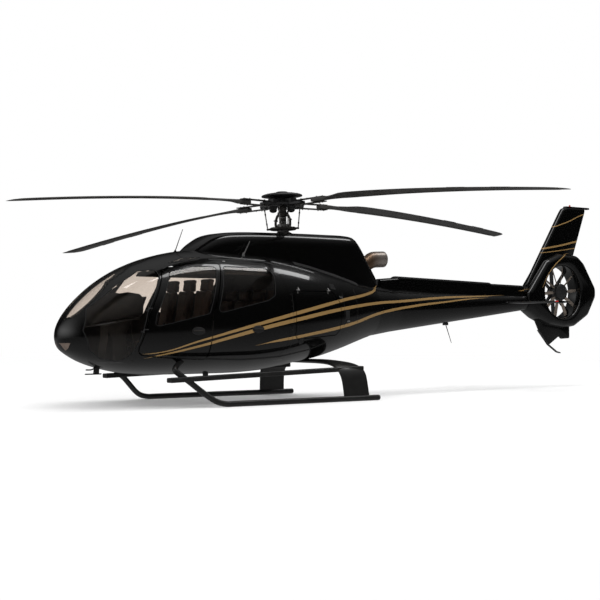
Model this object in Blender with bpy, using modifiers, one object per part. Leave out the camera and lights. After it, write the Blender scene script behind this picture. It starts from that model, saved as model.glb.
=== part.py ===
# Light single-engine helicopter on skids: glazed cabin, four-blade main rotor and a
# shrouded tail rotor. Metres, +Z up. Every place is given from the foot of the rotor
# mast: x forward, y to port, z up from the ground. The empty "datum" moves that point
# to MAST_X, so that the whole object's box is centred on the origin.

import math

import bmesh
import bpy
import numpy as np
from mathutils import Matrix, Vector

MAST_X = 1.10

# Fit
GAP = 0.0003
TRIM = 0.0006
GLASS_GAP = 0.0005
DOOR_GAP = 0.014
HATCH_GAP = 0.013

# Fuselage
WALL = 0.035
GLASS = 0.008
TUB_TOP = 0.64
FLOOR = TUB_TOP + GAP
CABIN_END = 0.50
BODY_END = -1.65
RING_STEPS = 15

# Fuselage sections. Columns: x, half width, belly z, roof z, waist z, upper power, lower power
STATIONS = (
    (3.90, 0.000, 1.020, 1.020, 1.02, 2.00, 2.00),
    (3.88, 0.130, 0.905, 1.142, 1.02, 2.00, 2.00),
    (3.82, 0.260, 0.812, 1.264, 1.02, 2.00, 2.00),
    (3.70, 0.400, 0.730, 1.426, 1.02, 2.00, 2.00),
    (3.50, 0.555, 0.632, 1.623, 1.035, 2.00, 2.05),
    (3.22, 0.720, 0.543, 1.836, 1.06, 2.00, 2.10),
    (2.90, 0.850, 0.478, 2.013, 1.085, 2.05, 2.20),
    (2.50, 0.950, 0.445, 2.165, 1.11, 2.10, 2.30),
    (2.00, 1.005, 0.438, 2.282, 1.15, 2.15, 2.40),
    (1.50, 1.015, 0.438, 2.330, 1.17, 2.20, 2.40),
    (1.00, 1.010, 0.445, 2.330, 1.19, 2.20, 2.40),
    (0.50, 0.985, 0.480, 2.310, 1.22, 2.20, 2.30),
    (0.00, 0.930, 0.565, 2.250, 1.26, 2.15, 2.20),
    (-0.50, 0.830, 0.645, 2.160, 1.30, 2.10, 2.10),
    (-1.00, 0.690, 0.770, 2.050, 1.36, 2.05, 2.05),
    (-1.40, 0.565, 0.890, 1.950, 1.41, 2.00, 2.00),
    (BODY_END, 0.490, 0.965, 1.880, 1.43, 2.00, 2.00),
    (-1.80, 0.450, 1.000, 1.850, 1.43, 2.00, 2.00),
)

# Side outlines of the openings, (x, z) from the first corner round
WINDSHIELD = ((3.95, 1.172), (3.74, 1.298), (3.57, 1.455), (3.20, 1.80), (2.83, 2.03),
              (2.40, 2.19), (2.28, 2.40), (3.95, 2.40))
SIDE_BUBBLE = ((3.60, 1.41), (3.69, 1.10), (3.60, 0.83), (3.42, 0.70), (3.20, 0.665), (3.10, 0.72),
               (3.04, 0.83), (2.89, 1.363), (2.60, 1.87), (2.60, 1.98), (2.83, 1.955), (3.20, 1.73))
ROOF_WINDOW = ((2.44, 2.065), (2.12, 2.165), (1.77, 2.195), (2.04, 2.125))
FRONT_DOOR = ((2.52, 1.97), (2.85, 1.363), (3.00, 0.86), (2.99, 0.79), (2.93, 0.75), (2.60, 0.712),
              (1.945, 0.675), (1.92, 1.32), (1.60, 2.095), (2.04, 2.085), (2.40, 2.02))
FRONT_WINDOW = ((2.43, 1.955), (2.77, 1.32), (2.80, 1.18), (2.74, 1.165), (1.97, 1.345),
                (1.68, 2.045), (2.06, 2.035))
SLIDING_DOOR = ((1.591, 2.095), (1.911, 1.32), (1.936, 0.675), (0.80, 0.665), (0.62, 0.72), (0.55, 0.85),
                (0.55, 1.75), (0.60, 1.98), (0.74, 2.095))
SLIDING_WINDOW = ((1.57, 2.045), (1.84, 1.345), (0.93, 1.545), (0.79, 1.62), (0.72, 1.90), (0.75, 1.99),
                  (0.85, 2.045))
BAGGAGE_DOOR = ((0.42, 1.70), (0.42, 1.02), (0.36, 0.96), (-0.50, 1.02), (-0.57, 1.10), (-0.57, 1.52),
                (-0.42, 1.70))
CENTRE_POST = 0.028
# Openings and what fills them. Columns: name, outline, inner y, gap round the edge
OPENINGS = (
    ("windshield", WINDSHIELD, CENTRE_POST, GLASS_GAP),
    ("side_bubble", SIDE_BUBBLE, 0.10, GLASS_GAP),
    ("roof_window", ROOF_WINDOW, 0.10, GLASS_GAP),
    ("front_door", FRONT_DOOR, 0.30, DOOR_GAP),
    ("sliding_door", SLIDING_DOOR, 0.30, GLASS_GAP),
    ("front_window", FRONT_WINDOW, 0.10, GLASS_GAP),
    ("sliding_window", SLIDING_WINDOW, 0.10, GLASS_GAP),
    ("baggage_door", BAGGAGE_DOOR, 0.30, HATCH_GAP),
)
OPENING_REACH = 1.4

# Door hinges on the port side. The front door turns about a line just outside its front
# edge, the baggage door about one just above its top edge.
FRONT_HINGE_FOOT = (2.965, 0.850, 1.10)
FRONT_HINGE_HEAD = (2.890, 0.836, 1.40)
# How far ahead and behind the axis each front hinge's arms reach, at its foot and at its head
FRONT_ARMS = ((0.025, 0.075), (0.045, 0.105))
BAGGAGE_HINGE_X = (0.33, -0.33)
BAGGAGE_HINGE_Z = 1.712
BAGGAGE_ARM_ABOVE = 0.03
BAGGAGE_ARM_BELOW = 0.045
HINGE_PROUD = 0.012
ARM_IN_FRAME = 0.02
ARM_IN_DOOR = 0.004
KNUCKLE = 0.010
KNUCKLE_LENGTH = 0.030

# Engine bay
DECK_Z = 1.74
DECK_THICKNESS = 0.03
BULKHEAD_X = (CABIN_END - 0.0597, CABIN_END - 0.03)
WELL = ((-1.40, -0.30, 1.70), (0.40, 0.30, 3.0))
ENGINE = ((-1.30, -0.22, DECK_Z + GAP), (-0.50, 0.22, 2.34))
GEARBOX = ((-0.24, -0.22, DECK_Z + GAP), (0.26, 0.22, 2.44))
BLOCK_BEVEL = 0.03

# Cowling sections. Columns: x, half width, top z, base z, power
COWL = (
    (1.80, 0.24, 2.335, 2.10, 3.0),
    (1.67, 0.32, 2.425, 2.10, 3.4),
    (1.43, 0.385, 2.550, 2.10, 4.0),
    (1.10, 0.43, 2.605, 2.10, 4.5),
    (0.35, 0.45, 2.63, 2.00, 5.0),
    (-0.70, 0.45, 2.64, 1.90, 5.0),
    (-1.17, 0.42, 2.63, 1.80, 5.0),
    (-1.29, 0.40, 2.575, 1.80, 4.5),
    (-1.50, 0.34, 2.33, 1.80, 4.0),
    (-1.78, 0.22, 2.02, 1.75, 3.0),
)
COWL_STEPS = 14
COWL_WALL = 0.02
COWL_SPLITS = (0.35, -0.70)
COWL_END_TRIM = 0.05
# Exhaust pipe. Columns: x, z, radius
EXHAUST = (
    (ENGINE[0][0] - GAP, 2.06, 0.095),
    (-1.42, 2.06, 0.100),
    (-1.54, 2.10, 0.110),
    (-1.72, 2.20, 0.122),
    (-1.84, 2.265, 0.132),
    (-1.90, 2.28, 0.135),
    (-2.09, 2.29, 0.135),
)
EXHAUST_WALL = 0.004

# Tail boom sections. Columns: x, half width, half height, centre z
BOOM_END = -5.4617
BOOM = (
    (-1.50, 0.506, 0.475, 1.423),
    (BODY_END, 0.478, 0.448, 1.425),
    (-2.20, 0.375, 0.375, 1.435),
    (-3.20, 0.290, 0.290, 1.470),
    (-4.30, 0.215, 0.215, 1.525),
    (BOOM_END, 0.140, 0.140, 1.590),
    (-5.60, 0.131, 0.131, 1.598),
)
BOOM_STEPS = 22
BOOM_WALL = 0.012
# Drive shaft cover on the boom. Columns: x, half width, top z
SHAFT_COVER = (
    (-1.96, 0.10, 1.955),
    (-2.34, 0.115, 1.985),
    (-2.36, 0.130, 2.010),
    (-4.54, 0.110, 1.945),
    (-4.56, 0.095, 1.925),
    (-5.40, 0.085, 1.905),
)
COVER_WALL = 0.012
COVER_ARCH = 0.08
COVER_STEPS = 10

# Tail: side outlines, (x, z)
DUCT_X = -6.37
DUCT_Z = 1.795
DUCT_RADIUS = 0.49
DUCT_HALF = 0.19
DUCT_STEPS = 48
HOUSING = ((BOOM_END - GAP, 1.46), (-5.72, 1.30), (-6.02, 1.18), (-6.42, 1.125), (-6.72, 1.145), (-7.09, 1.35),
           (-7.31, 1.71), (-7.31, 1.88), (-6.98, 2.36), (-6.80, 2.50), (-6.30, 2.53), (-5.95, 2.39),
           (BOOM_END - GAP, 1.78))
# How far the housing's outline is moved outward at each y, and the hollow inside it
HOUSING_LAYERS = ((-DUCT_HALF, -0.09), (-0.15, -0.03), (0.0, 0.0), (0.15, -0.03), (DUCT_HALF, -0.09))
HOLLOW_LAYERS = ((-0.165, -0.095), (-0.13, -0.055), (0.0, -0.025), (0.13, -0.055), (0.165, -0.095))
DUCT_WALL = 0.025
BOOM_MOUTH = ((BOOM_END - 0.15, 0, 1.59), (BOOM_END + 0.05, 0, 1.59))
BOOM_MOUTH_RADIUS = 0.11
FIN = ((-5.50, 1.90), (-6.42, 3.28), (-6.50, 3.39), (-6.62, 3.43), (-7.16, 3.43), (-6.79, 2.48), (-6.40, 2.30),
       (-5.80, 1.80))
FIN_LAYERS = ((-0.065, -0.05), (-0.03, -0.01), (0.03, -0.01), (0.065, -0.05))
FIN_HOLLOW_LAYERS = ((-0.045, -0.08), (-0.025, -0.045), (0.025, -0.045), (0.045, -0.08))
FIN_CAP = ((-7.25, -0.045, 3.405), (-6.60, 0.045, 3.44))
VENTRAL_FIN = ((-5.72, 1.34), (-5.875, 1.07), (-6.14, 0.80), (-6.41, 0.96), (-6.48, 0.91), (-6.70, 0.92),
               (-6.70, 1.20))
VENTRAL_HALF = 0.022
BUMPER = ((-5.868, 1.062), (-6.12, 0.80), (-6.36, 0.655), (-6.45, 0.635), (-6.438, 0.657), (-6.348, 0.677),
          (-6.108, 0.822), (-5.856, 1.084))
BUMPER_HALF = 0.03

STABILIZER_HALF_SPAN = 1.365
STABILIZER_Z = 1.58
STABILIZER_X = (-4.84, -5.30)
STABILIZER_THICKNESS = 0.05
STABILIZER_TIP = 0.03

# Tail rotor and its gearbox: profiles about the duct's axis, (radius, y) from port to starboard
TAIL_BLADES = 10
TAIL_BLADE = (0.12, 0.472)
TAIL_BLADE_CHORD = 0.062
TAIL_BLADE_THICKNESS = 0.012
TAIL_BLADE_PITCH = math.radians(28)
TAIL_BLADE_PHASE = 0.1
TAIL_ROTOR_Y = 0.06
TAIL_HUB = ((0, 0.17), (0.10, 0.16), (0.14, 0.145), (0.155, 0.12), (0.155, 0.0), (0.045, 0.0),
            (0.045, -0.0099), (0, -0.0099))
TAIL_GEARBOX = ((0, -0.0102), (0.05, -0.0102), (0.05, -0.03), (0.125, -0.03), (0.125, -0.13), (0.09, -0.17),
                (0, -0.17))
STATOR_VANES = 8
STATOR_Y = -0.10
STATOR_VANE = (0.018, 0.10)
STATOR_ROOT = 0.08

# Main rotor
HUB_Z = 3.10
DISC_LEAN_RIGHT = math.radians(2.0)
DISC_LEAN_FORWARD = math.radians(1.1)
BLADE_AZIMUTH = 10.8
# Parked blades stand a little off square, in degrees, and hang by a slope of their own
BLADE_LAG = (3.4, -1.95, -5.24, 3.77)
BLADE_HANG = (0.003, 0.0202, 0.0171, 0.0267)
ROTOR_RADIUS = 5.36
DROOP = 0.021
DROOP_START = 0.95
DROOP_POWER = 1.7
# Blade sections. Columns: radius, chord, thickness, pitch in degrees, sideways shift
BLADE_SECTIONS = (
    (0.74, 0.10, 0.061, 0.0, -0.025),
    (0.965, 0.10, 0.061, 0.0, -0.025),
    (1.12, 0.14, 0.050, 5.0, -0.015),
    (1.45, 0.32, 0.040, 8.5, 0.0),
    (1.90, 0.35, 0.040, 8.0, 0.0),
    (2.60, 0.35, 0.038, 6.5, 0.0),
    (3.40, 0.35, 0.036, 4.5, 0.0),
    (4.30, 0.35, 0.034, 2.5, 0.0),
    (5.10, 0.34, 0.030, 1.0, 0.0),
    (ROTOR_RADIUS, 0.14, 0.012, 1.0, 0.06),
)
# A blade's section, (along the chord, up), in chords and thicknesses
BLADE_SHAPE = ((0.25, 0.0), (0.20, 0.33), (0.05, 0.5), (-0.30, 0.34), (-0.75, 0.05), (-0.75, -0.05),
               (-0.30, -0.34), (0.05, -0.5), (0.20, -0.33))
# Heights from the ground along the mast, and radii
HOUSING_FOOT = 2.30
HOUSING_TOP = 2.79
BORE_FLOOR = 2.50
BORE_RADIUS = 0.066
MAST_RADIUS = 0.058
STAR_HALF = 0.02
PLATE = 0.014
PLATE_GAP = 0.031
HORN_DROP = 0.002
CAP_FOOT = 3.17
SWASH_LOW, SWASH_HIGH = 2.69, 2.74
SWASH_RADII = (0.0955, 0.215)
LINK_FOOT_RADIUS = 0.25
LINK_HEAD = (0.25, 0.15)
LINK_RADIUS = 0.011
EYE_RADIUS = 0.016

# Landing gear
SKID_Y = 1.17
SKID_RADIUS = 0.042
SKID_END = -1.04
# One bent tube from the belly to the level part of the skid, (x, y, z)
SKID_LEG = ((2.20, 0.62, 0.69), (2.275, 0.72, 0.655), (2.40, 0.82, 0.61), (2.49, 0.90, 0.56),
            (2.505, 0.94, 0.52), (2.44, 0.975, 0.46), (2.30, 1.005, 0.355), (2.16, 1.06, 0.235),
            (2.03, 1.12, 0.13), (1.92, 1.155, 0.07), (1.78, SKID_Y, SKID_RADIUS))
STEP_Y = (0.92, 1.06)
STEP_THICKNESS = 0.068
# Ends of a step board, (x, top z)
STEP_BOARD = ((2.64, 0.43), (-0.82, 0.535))
# Rear strut, a flat fairing from skid to skid. Columns: x, y, z, chord, thickness
REAR_STRUT = (
    (-0.50, 0.00, 0.600, 0.45, 0.07),
    (-0.50, 0.55, 0.600, 0.47, 0.075),
    (-0.54, 0.82, 0.573, 0.49, 0.075),
    (-0.565, 1.00, 0.510, 0.51, 0.075),
    (-0.575, 1.09, 0.420, 0.51, 0.070),
    (-0.585, 1.13, 0.300, 0.50, 0.065),
    (-0.60, 1.16, 2 * SKID_RADIUS + GAP, 0.50, 0.060),
)
# The strut's section, (along the chord, up), in chords and thicknesses
STRUT_SHAPE = ((0.5, 0.0), (0.44, 0.32), (0.2, 0.5), (-0.2, 0.36), (-0.5, 0.06), (-0.5, -0.06), (-0.2, -0.36),
               (0.2, -0.5), (0.44, -0.32))

# Cabin
SEAT_Z = 0.94
FRONT_SEATS_Y = (-0.50, 0.0, 0.50)
FRONT_SEAT_X = 1.80
FRONT_SEAT_WIDTH = 0.40
FRONT_SEAT_TOP = 1.86
REAR_SEATS_Y = (-0.59, -0.197, 0.197, 0.59)
REAR_SEAT_X = 0.66
REAR_SEAT_WIDTH = 0.40
REAR_SEAT_TOP = 1.72
SEAT_EDGE = (0.03, 0.02)
CONSOLE = ((2.92, 0.0), (2.92, 0.42), (2.72, 0.80), (2.66, 0.95), (2.80, 1.00), (3.12, 0.88), (3.30, 0.66),
           (3.32, 0.50), (3.16, 0.36), (3.14, 0.0))
CONSOLE_LAYERS = ((-0.26, -0.03), (-0.22, 0.0), (0.22, 0.0), (0.26, -0.03))

SIDES = (("left", 1), ("right", -1))

# Finishes: colour, roughness, metallic
FINISHES = {
    "black_gloss": ((0.012, 0.012, 0.013), 0.12, 0.0),
    "black_satin": ((0.02, 0.02, 0.021), 0.45, 0.0),
    "bronze_glass": ((0.16, 0.11, 0.08), 0.05, 0.0),
    "brown_leather": ((0.09, 0.05, 0.035), 0.55, 0.0),
    "grey_metal": ((0.35, 0.34, 0.33), 0.35, 1.0),
    "exhaust_steel": ((0.45, 0.38, 0.33), 0.28, 1.0),
    "dark_trim": ((0.03, 0.028, 0.027), 0.6, 0.0),
    "blade_grey": ((0.07, 0.07, 0.07), 0.35, 0.0),
    "bronze_blade": ((0.32, 0.26, 0.2), 0.35, 0.6),
}


# Scene, collections and the datum
for old in list(bpy.data.objects):
    bpy.data.objects.remove(old, do_unlink=True)
helicopter = bpy.data.collections.new("helicopter")
cutters = bpy.data.collections.new("cutters")
bpy.context.scene.collection.children.link(helicopter)
bpy.context.scene.collection.children.link(cutters)


def axis_empty(name, matrix, parent=None):
    """An empty that carries pieces. Its local z is the axis that they turn or lie about."""
    empty = bpy.data.objects.new(name, None)
    helicopter.objects.link(empty)
    empty.parent = parent
    empty.matrix_local = matrix
    return empty


datum = axis_empty("datum", Matrix.Translation((MAST_X, 0, 0)))
LEAN = Matrix.Rotation(DISC_LEAN_RIGHT, 4, "X") @ Matrix.Rotation(DISC_LEAN_FORWARD, 4, "Y")
rotor_axis = axis_empty("rotor_axis", Matrix.Translation((0, 0, HUB_Z)) @ LEAN, datum)
DUCT_TURN = Matrix.Rotation(-math.pi / 2, 4, "X")
duct_axis = axis_empty("duct_axis", Matrix.Translation((DUCT_X, 0, DUCT_Z)) @ DUCT_TURN, datum)


# Finishes and objects
def finish(name):
    if name in bpy.data.materials:
        return bpy.data.materials[name]
    colour, roughness, metallic = FINISHES[name]
    material = bpy.data.materials.new(name)
    material.use_nodes = True
    shader = material.node_tree.nodes["Principled BSDF"]
    shader.inputs["Base Color"].default_value = (*colour, 1.0)
    shader.inputs["Roughness"].default_value = roughness
    shader.inputs["Metallic"].default_value = metallic
    return material


def place(name, mesh, material, parent=datum, origin=(0, 0, 0)):
    """A piece: an object of this mesh, its own origin at this place of its parent's."""
    piece = bpy.data.objects.new(name, mesh)
    helicopter.objects.link(piece)
    piece.parent = parent
    mesh.transform(Matrix.Translation(-Vector(origin)))
    piece.location = origin
    mesh.materials.clear()
    mesh.materials.append(finish(material))
    return piece


def guide(name, mesh, parent=datum):
    """A cutter: never rendered, on the datum like the pieces that it cuts."""
    cutter = bpy.data.objects.new(name, mesh)
    cutters.objects.link(cutter)
    cutter.parent = parent
    cutter.hide_render = True
    cutter.display_type = "WIRE"
    return cutter


# Modifiers
def boolean(piece, operation, cutter):
    step = piece.modifiers.new(f"{operation.lower()} {cutter.name}", "BOOLEAN")
    step.operation = operation
    step.solver = "EXACT"
    step.object = cutter
    return step


def keep(piece, cutter):
    boolean(piece, "INTERSECT", cutter)


def cut(piece, cutter):
    boolean(piece, "DIFFERENCE", cutter)


def join(piece, other):
    boolean(piece, "UNION", other)


def join_many(piece, others):
    """Joins a mesh of several bodies, which may run into each other."""
    boolean(piece, "UNION", others).use_self = True


def thicken(piece, thickness):
    """Gives an open skin a wall inside it."""
    wall = piece.modifiers.new("wall", "SOLIDIFY")
    wall.thickness = thickness
    wall.offset = -1.0
    wall.use_even_offset = True


def turn(piece, steps=24):
    """Turns a profile about the piece's z."""
    screw = piece.modifiers.new("turn", "SCREW")
    screw.steps = steps
    screw.render_steps = steps
    screw.use_merge_vertices = True
    screw.merge_threshold = 0.00005
    return piece


# Meshes
def finished(builder, name):
    mesh = bpy.data.meshes.new(name)
    builder.to_mesh(mesh)
    builder.free()
    return mesh


def profile(name, points, closed=False, base=0.0):
    """The outline that turn() spins: (radius, z) down its outer side, z measured from base."""
    builder = bmesh.new()
    verts = [builder.verts.new((radius, 0.0, z - base)) for radius, z in points]
    for upper, lower in zip(verts, verts[1:] + verts[:1] if closed else verts[1:]):
        builder.edges.new((upper, lower))
    return finished(builder, name)


def lofted(name, rings, caps=True):
    """A skin through closed rings of equal count. A ring of one point is a tip."""
    builder = bmesh.new()
    rows = [[builder.verts.new(point) for point in ring] for ring in rings]
    for back, front in zip(rows, rows[1:]):
        count = max(len(back), len(front))
        for i in range(count):
            j = (i + 1) % count
            corners = (back[i % len(back)], back[j % len(back)], front[j % len(front)], front[i % len(front)])
            builder.faces.new(list(dict.fromkeys(corners)))
    for row in (rows[0], rows[-1]):
        if caps and len(row) > 2:
            builder.faces.new(row)
    bmesh.ops.recalc_face_normals(builder, faces=builder.faces[:])
    middle = sum((vert.co for vert in builder.verts), Vector()) / len(builder.verts)
    outward = sum(face.normal.dot(face.calc_center_median() - middle) * face.calc_area()
                  for face in builder.faces)
    if outward < 0:
        bmesh.ops.reverse_faces(builder, faces=builder.faces[:])
    return finished(builder, name)


def offset_outline(outline, distance):
    """The outline moved outward by distance, with mitred corners."""
    count = len(outline)
    area = sum(outline[i - 1][0] * outline[i][1] - outline[i][0] * outline[i - 1][1] for i in range(count))
    sign = 1.0 if area > 0 else -1.0
    offset = []
    for i, point in enumerate(outline):
        before = Vector(point) - Vector(outline[i - 1])
        after = Vector(outline[(i + 1) % count]) - Vector(point)
        normals = [Vector((run.y, -run.x)).normalized() * sign for run in (before, after)]
        mitre = (normals[0] + normals[1]) / max(1.0 + normals[0].dot(normals[1]), 0.35)
        offset.append(tuple(Vector(point) + mitre * distance))
    return offset


def prism(name, outline, inner, outer, side=1):
    """A side-view outline run along y from inner to outer."""
    builder = bmesh.new()
    face = builder.faces.new([builder.verts.new((x, side * inner, z)) for x, z in outline])
    run = bmesh.ops.extrude_face_region(builder, geom=[face])
    ends = [item for item in run["geom"] if isinstance(item, bmesh.types.BMVert)]
    bmesh.ops.translate(builder, vec=(0, side * (outer - inner), 0), verts=ends)
    bmesh.ops.recalc_face_normals(builder, faces=builder.faces[:])
    return finished(builder, name)


def layered(name, outline, layers, y=0.0, z=0.0):
    """A side-view outline at each (y, outward offset) of layers, joined from one to the next."""
    return lofted(name, [[(px, y + dy, z + pz) for px, pz in offset_outline(outline, out)]
                         for dy, out in layers])


def block(name, low, high, bevel=0.0):
    """A box between two corners, with its edges rounded."""
    builder = bmesh.new()
    bmesh.ops.create_cube(builder, size=1.0)
    bmesh.ops.scale(builder, vec=Vector(high) - Vector(low), verts=builder.verts[:])
    bmesh.ops.translate(builder, vec=(Vector(high) + Vector(low)) / 2, verts=builder.verts[:])
    if bevel:
        bmesh.ops.bevel(builder, geom=builder.edges[:], offset=bevel, segments=2, profile=0.5, affect="EDGES")
    return finished(builder, name)


def rod(name, start, end, radius, segments=16):
    """A round bar from start to end."""
    builder = bmesh.new()
    run = Vector(end) - Vector(start)
    aim = Vector((0, 0, 1)).rotation_difference(run).to_matrix().to_4x4()
    bmesh.ops.create_cone(builder, cap_ends=True, segments=segments, radius1=radius, radius2=radius,
                          depth=run.length, matrix=Matrix.Translation((Vector(start) + Vector(end)) / 2) @ aim)
    return finished(builder, name)


def tube(name, points, radii, resolution=4, filled=True):
    """A round tube through points, made as a bevelled curve. Its mesh has welded caps or open ends."""
    curve = bpy.data.curves.new(name, "CURVE")
    curve.dimensions = "3D"
    curve.bevel_depth = 1.0
    curve.bevel_resolution = resolution
    curve.use_fill_caps = filled
    spline = curve.splines.new("POLY")
    spline.points.add(len(points) - 1)
    for knot, point, radius in zip(spline.points, points, radii):
        knot.co = (*point, 1.0)
        knot.radius = radius
    bent = bpy.data.objects.new(name, curve)
    cutters.objects.link(bent)
    evaluated = bent.evaluated_get(bpy.context.evaluated_depsgraph_get())
    mesh = bpy.data.meshes.new_from_object(evaluated)
    bpy.data.objects.remove(bent, do_unlink=True)
    builder = bmesh.new()
    builder.from_mesh(mesh)
    bmesh.ops.remove_doubles(builder, verts=builder.verts[:], dist=0.00001)
    builder.to_mesh(mesh)
    builder.free()
    return mesh


def smoothed(points, steps):
    """Points on a smooth curve through the given ones."""
    path = [Vector(point) for point in points]
    path = [2 * path[0] - path[1]] + path + [2 * path[-1] - path[-2]]
    run = []
    for p0, p1, p2, p3 in zip(path, path[1:], path[2:], path[3:]):
        for k in range(steps):
            t = k / steps
            run.append(0.5 * (2 * p1 + (p2 - p0) * t + (2 * p0 - 5 * p1 + 4 * p2 - p3) * t**2
                              + (3 * p1 - p0 - 3 * p2 + p3) * t**3))
    return run + [path[-2]]


def between(table, x):
    """The table's row at x, read smoothly between its stations."""
    rows = np.array(table)[::-1]
    i = int(np.clip(np.searchsorted(rows[:, 0], x) - 1, 0, len(rows) - 2))
    width = rows[i + 1, 0] - rows[i, 0]
    t = (x - rows[i, 0]) / width
    slopes = []
    for k in (i, i + 1):
        low, high = max(k - 1, 0), min(k + 1, len(rows) - 1)
        slopes.append((rows[high] - rows[low]) / (rows[high, 0] - rows[low, 0]))
    ease = 3 * t**2 - 2 * t**3
    start, end = t**3 - 2 * t**2 + t, t**3 - t**2
    return rows[i] * (1 - ease) + rows[i + 1] * ease + width * (start * slopes[0] + end * slopes[1])


def squarish(angle, half, power):
    """A point's share of half on a superellipse, with the sign of the angle's cosine."""
    return math.copysign(half * abs(math.cos(angle)) ** (2 / power), math.cos(angle))


# Fuselage skin
def body_ring(row):
    """The closed section of the fuselage at a station: superelliptic above and below the waist."""
    x, half, belly, roof, waist, upper, lower = row
    ring = []
    for k in range(2 * RING_STEPS):
        angle = math.pi * (k + 0.5) / RING_STEPS - math.pi / 2
        power, height = (upper, roof - waist) if math.sin(angle) > 0 else (lower, waist - belly)
        ring.append((x, squarish(angle, half, power), waist + squarish(angle - math.pi / 2, height, power)))
    return ring


def body_rings():
    tip = [(STATIONS[0][0], 0.0, STATIONS[0][4])]
    rings = [tip]
    for row, after in zip(STATIONS[1:], STATIONS[2:] + (None,)):
        rings.append(body_ring(row))
        if after is not None and row[0] - after[0] > 0.3:
            rings.append(body_ring(between(STATIONS[1:], (row[0] + after[0]) / 2)))
    return rings


def body_skin(name, inset=0.0):
    """The fuselage as one closed solid, its skin moved inward by inset."""
    mesh = lofted(name, body_rings())
    builder = bmesh.new()
    builder.from_mesh(mesh)
    builder.normal_update()
    end = min(vert.co.x for vert in builder.verts)
    for vert in builder.verts:
        normal = vert.normal.copy()
        if vert.co.x < end + GAP:
            normal.x = 0.0
            normal.normalize()
        vert.co -= normal * inset
    builder.to_mesh(mesh)
    builder.free()
    return mesh


def body_shell(name, thickness, material, origin=(0, 0, 0)):
    """The fuselage skin with a wall of this thickness inside it, open at its rear end."""
    piece = place(name, lofted(name, body_rings(), caps=False), material, origin=origin)
    thicken(piece, thickness)
    return piece


def skin_y(x, z):
    """The fuselage's half width at this place."""
    _, half, belly, roof, waist, upper, lower = between(STATIONS[1:], x)
    power, height = (upper, roof - waist) if z > waist else (lower, waist - belly)
    return half * (1 - min(abs(z - waist) / height, 1.0) ** power) ** (1 / power)


def zone(name, x0, x1, z0=-1.0, z1=5.0):
    """A slab across the whole width, from x0 to x1 and z0 to z1."""
    return guide(name, block(name, (x0, -3, z0), (x1, 3, z1)))


hull_clear = guide("hull_clear", body_skin("hull_clear", -TRIM))
hull_inside = guide("hull_inside", body_skin("hull_inside", WALL + 0.0010))
below_tub = zone("below_tub", CABIN_END, 5, z1=TUB_TOP)
cabin_zone = zone("cabin_zone", CABIN_END, 5)
rear_zone = zone("rear_zone", BODY_END, CABIN_END - GAP)

# Belly tub: the stiff floor box of the cabin
belly_tub = place("belly_tub", body_skin("belly_tub"), "black_gloss")
keep(belly_tub, below_tub)

# A hole for each opening, a little larger than its outline, and a plug a little smaller
holes = {}
plugs = {}
for name, outline, inner, gap in OPENINGS:
    for side_name, side in SIDES:
        for kind, store, margin in (("hole", holes, gap / 2), ("plug", plugs, -gap / 2)):
            label = f"{name}_{kind}_{side_name}"
            shape = prism(label, offset_outline(outline, margin), inner - margin, OPENING_REACH, side)
            store[name, side_name] = guide(label, shape)

# Cabin frame: pillars, rails and nose, with its panes and doors
cabin_frame = body_shell("cabin_frame", WALL, "black_gloss")
keep(cabin_frame, cabin_zone)
cut(cabin_frame, below_tub)
for side_name, side in SIDES:
    for name in ("windshield", "side_bubble", "roof_window", "front_door", "sliding_door"):
        cut(cabin_frame, holes[name, side_name])
    for name in ("windshield", "side_bubble", "roof_window"):
        pane = body_shell(f"{name}_{side_name}", GLASS, "bronze_glass")
        keep(pane, plugs[name, side_name])


def hinged(point, side):
    return (point[0], side * point[1], point[2])


def baggage_pin(x):
    return Vector((x, skin_y(x, BAGGAGE_HINGE_Z) + HINGE_PROUD, BAGGAGE_HINGE_Z))


for side_name, side in SIDES:
    front_hinge = hinged(FRONT_HINGE_FOOT, side)
    baggage_hinge = hinged(baggage_pin(BAGGAGE_HINGE_X[0]), side)
    for name, window, hinge in (("front_door", "front_window", front_hinge),
                                ("sliding_door", "sliding_window", (0, 0, 0)),
                                ("baggage_door", None, baggage_hinge)):
        door = body_shell(f"{name}_{side_name}", WALL, "black_gloss", hinge)
        keep(door, plugs[name, side_name])
        if window:
            cut(door, holes[window, side_name])
            pane = body_shell(f"{window}_{side_name}", GLASS, "bronze_glass", hinge)
            keep(pane, plugs[window, side_name])

# Rear fuselage: baggage bay between its two doors, an open well on top for the engine
rear_fuselage = body_shell("rear_fuselage", WALL, "black_gloss")
keep(rear_fuselage, rear_zone)
for side_name, side in SIDES:
    cut(rear_fuselage, holes["baggage_door", side_name])
cut(rear_fuselage, guide("engine_well", block("engine_well", *WELL)))

engine_deck = place("engine_deck", block("engine_deck", (-1.45, -1, DECK_Z - DECK_THICKNESS),
                                         (BULKHEAD_X[0] - GAP, 1, DECK_Z)), "dark_trim")
keep(engine_deck, hull_inside)
rear_bulkhead = place("rear_bulkhead", block("rear_bulkhead", (BULKHEAD_X[0], -2, 0), (BULKHEAD_X[1], 2, 3)),
                      "dark_trim")
keep(rear_bulkhead, hull_inside)

# Engine and main gearbox, each one block
engine = place("engine", block("engine", *ENGINE, BLOCK_BEVEL), "grey_metal")
main_gearbox = place("main_gearbox", block("main_gearbox", *GEARBOX, BLOCK_BEVEL), "grey_metal")

# Exhaust: a bent, open pipe from the engine's rear face
exhaust_path = [(x, 0, z) for x, z, radius in EXHAUST]
exhaust_skin = tube("exhaust_pipe", exhaust_path, [radius for x, z, radius in EXHAUST], 7, filled=False)
exhaust_pipe = place("exhaust_pipe", exhaust_skin, "exhaust_steel")
thicken(exhaust_pipe, EXHAUST_WALL)
exhaust_hole = guide("exhaust_hole", tube("exhaust_hole", exhaust_path, [row[2] + TRIM for row in EXHAUST], 7))
cut(rear_fuselage, exhaust_hole)


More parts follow.
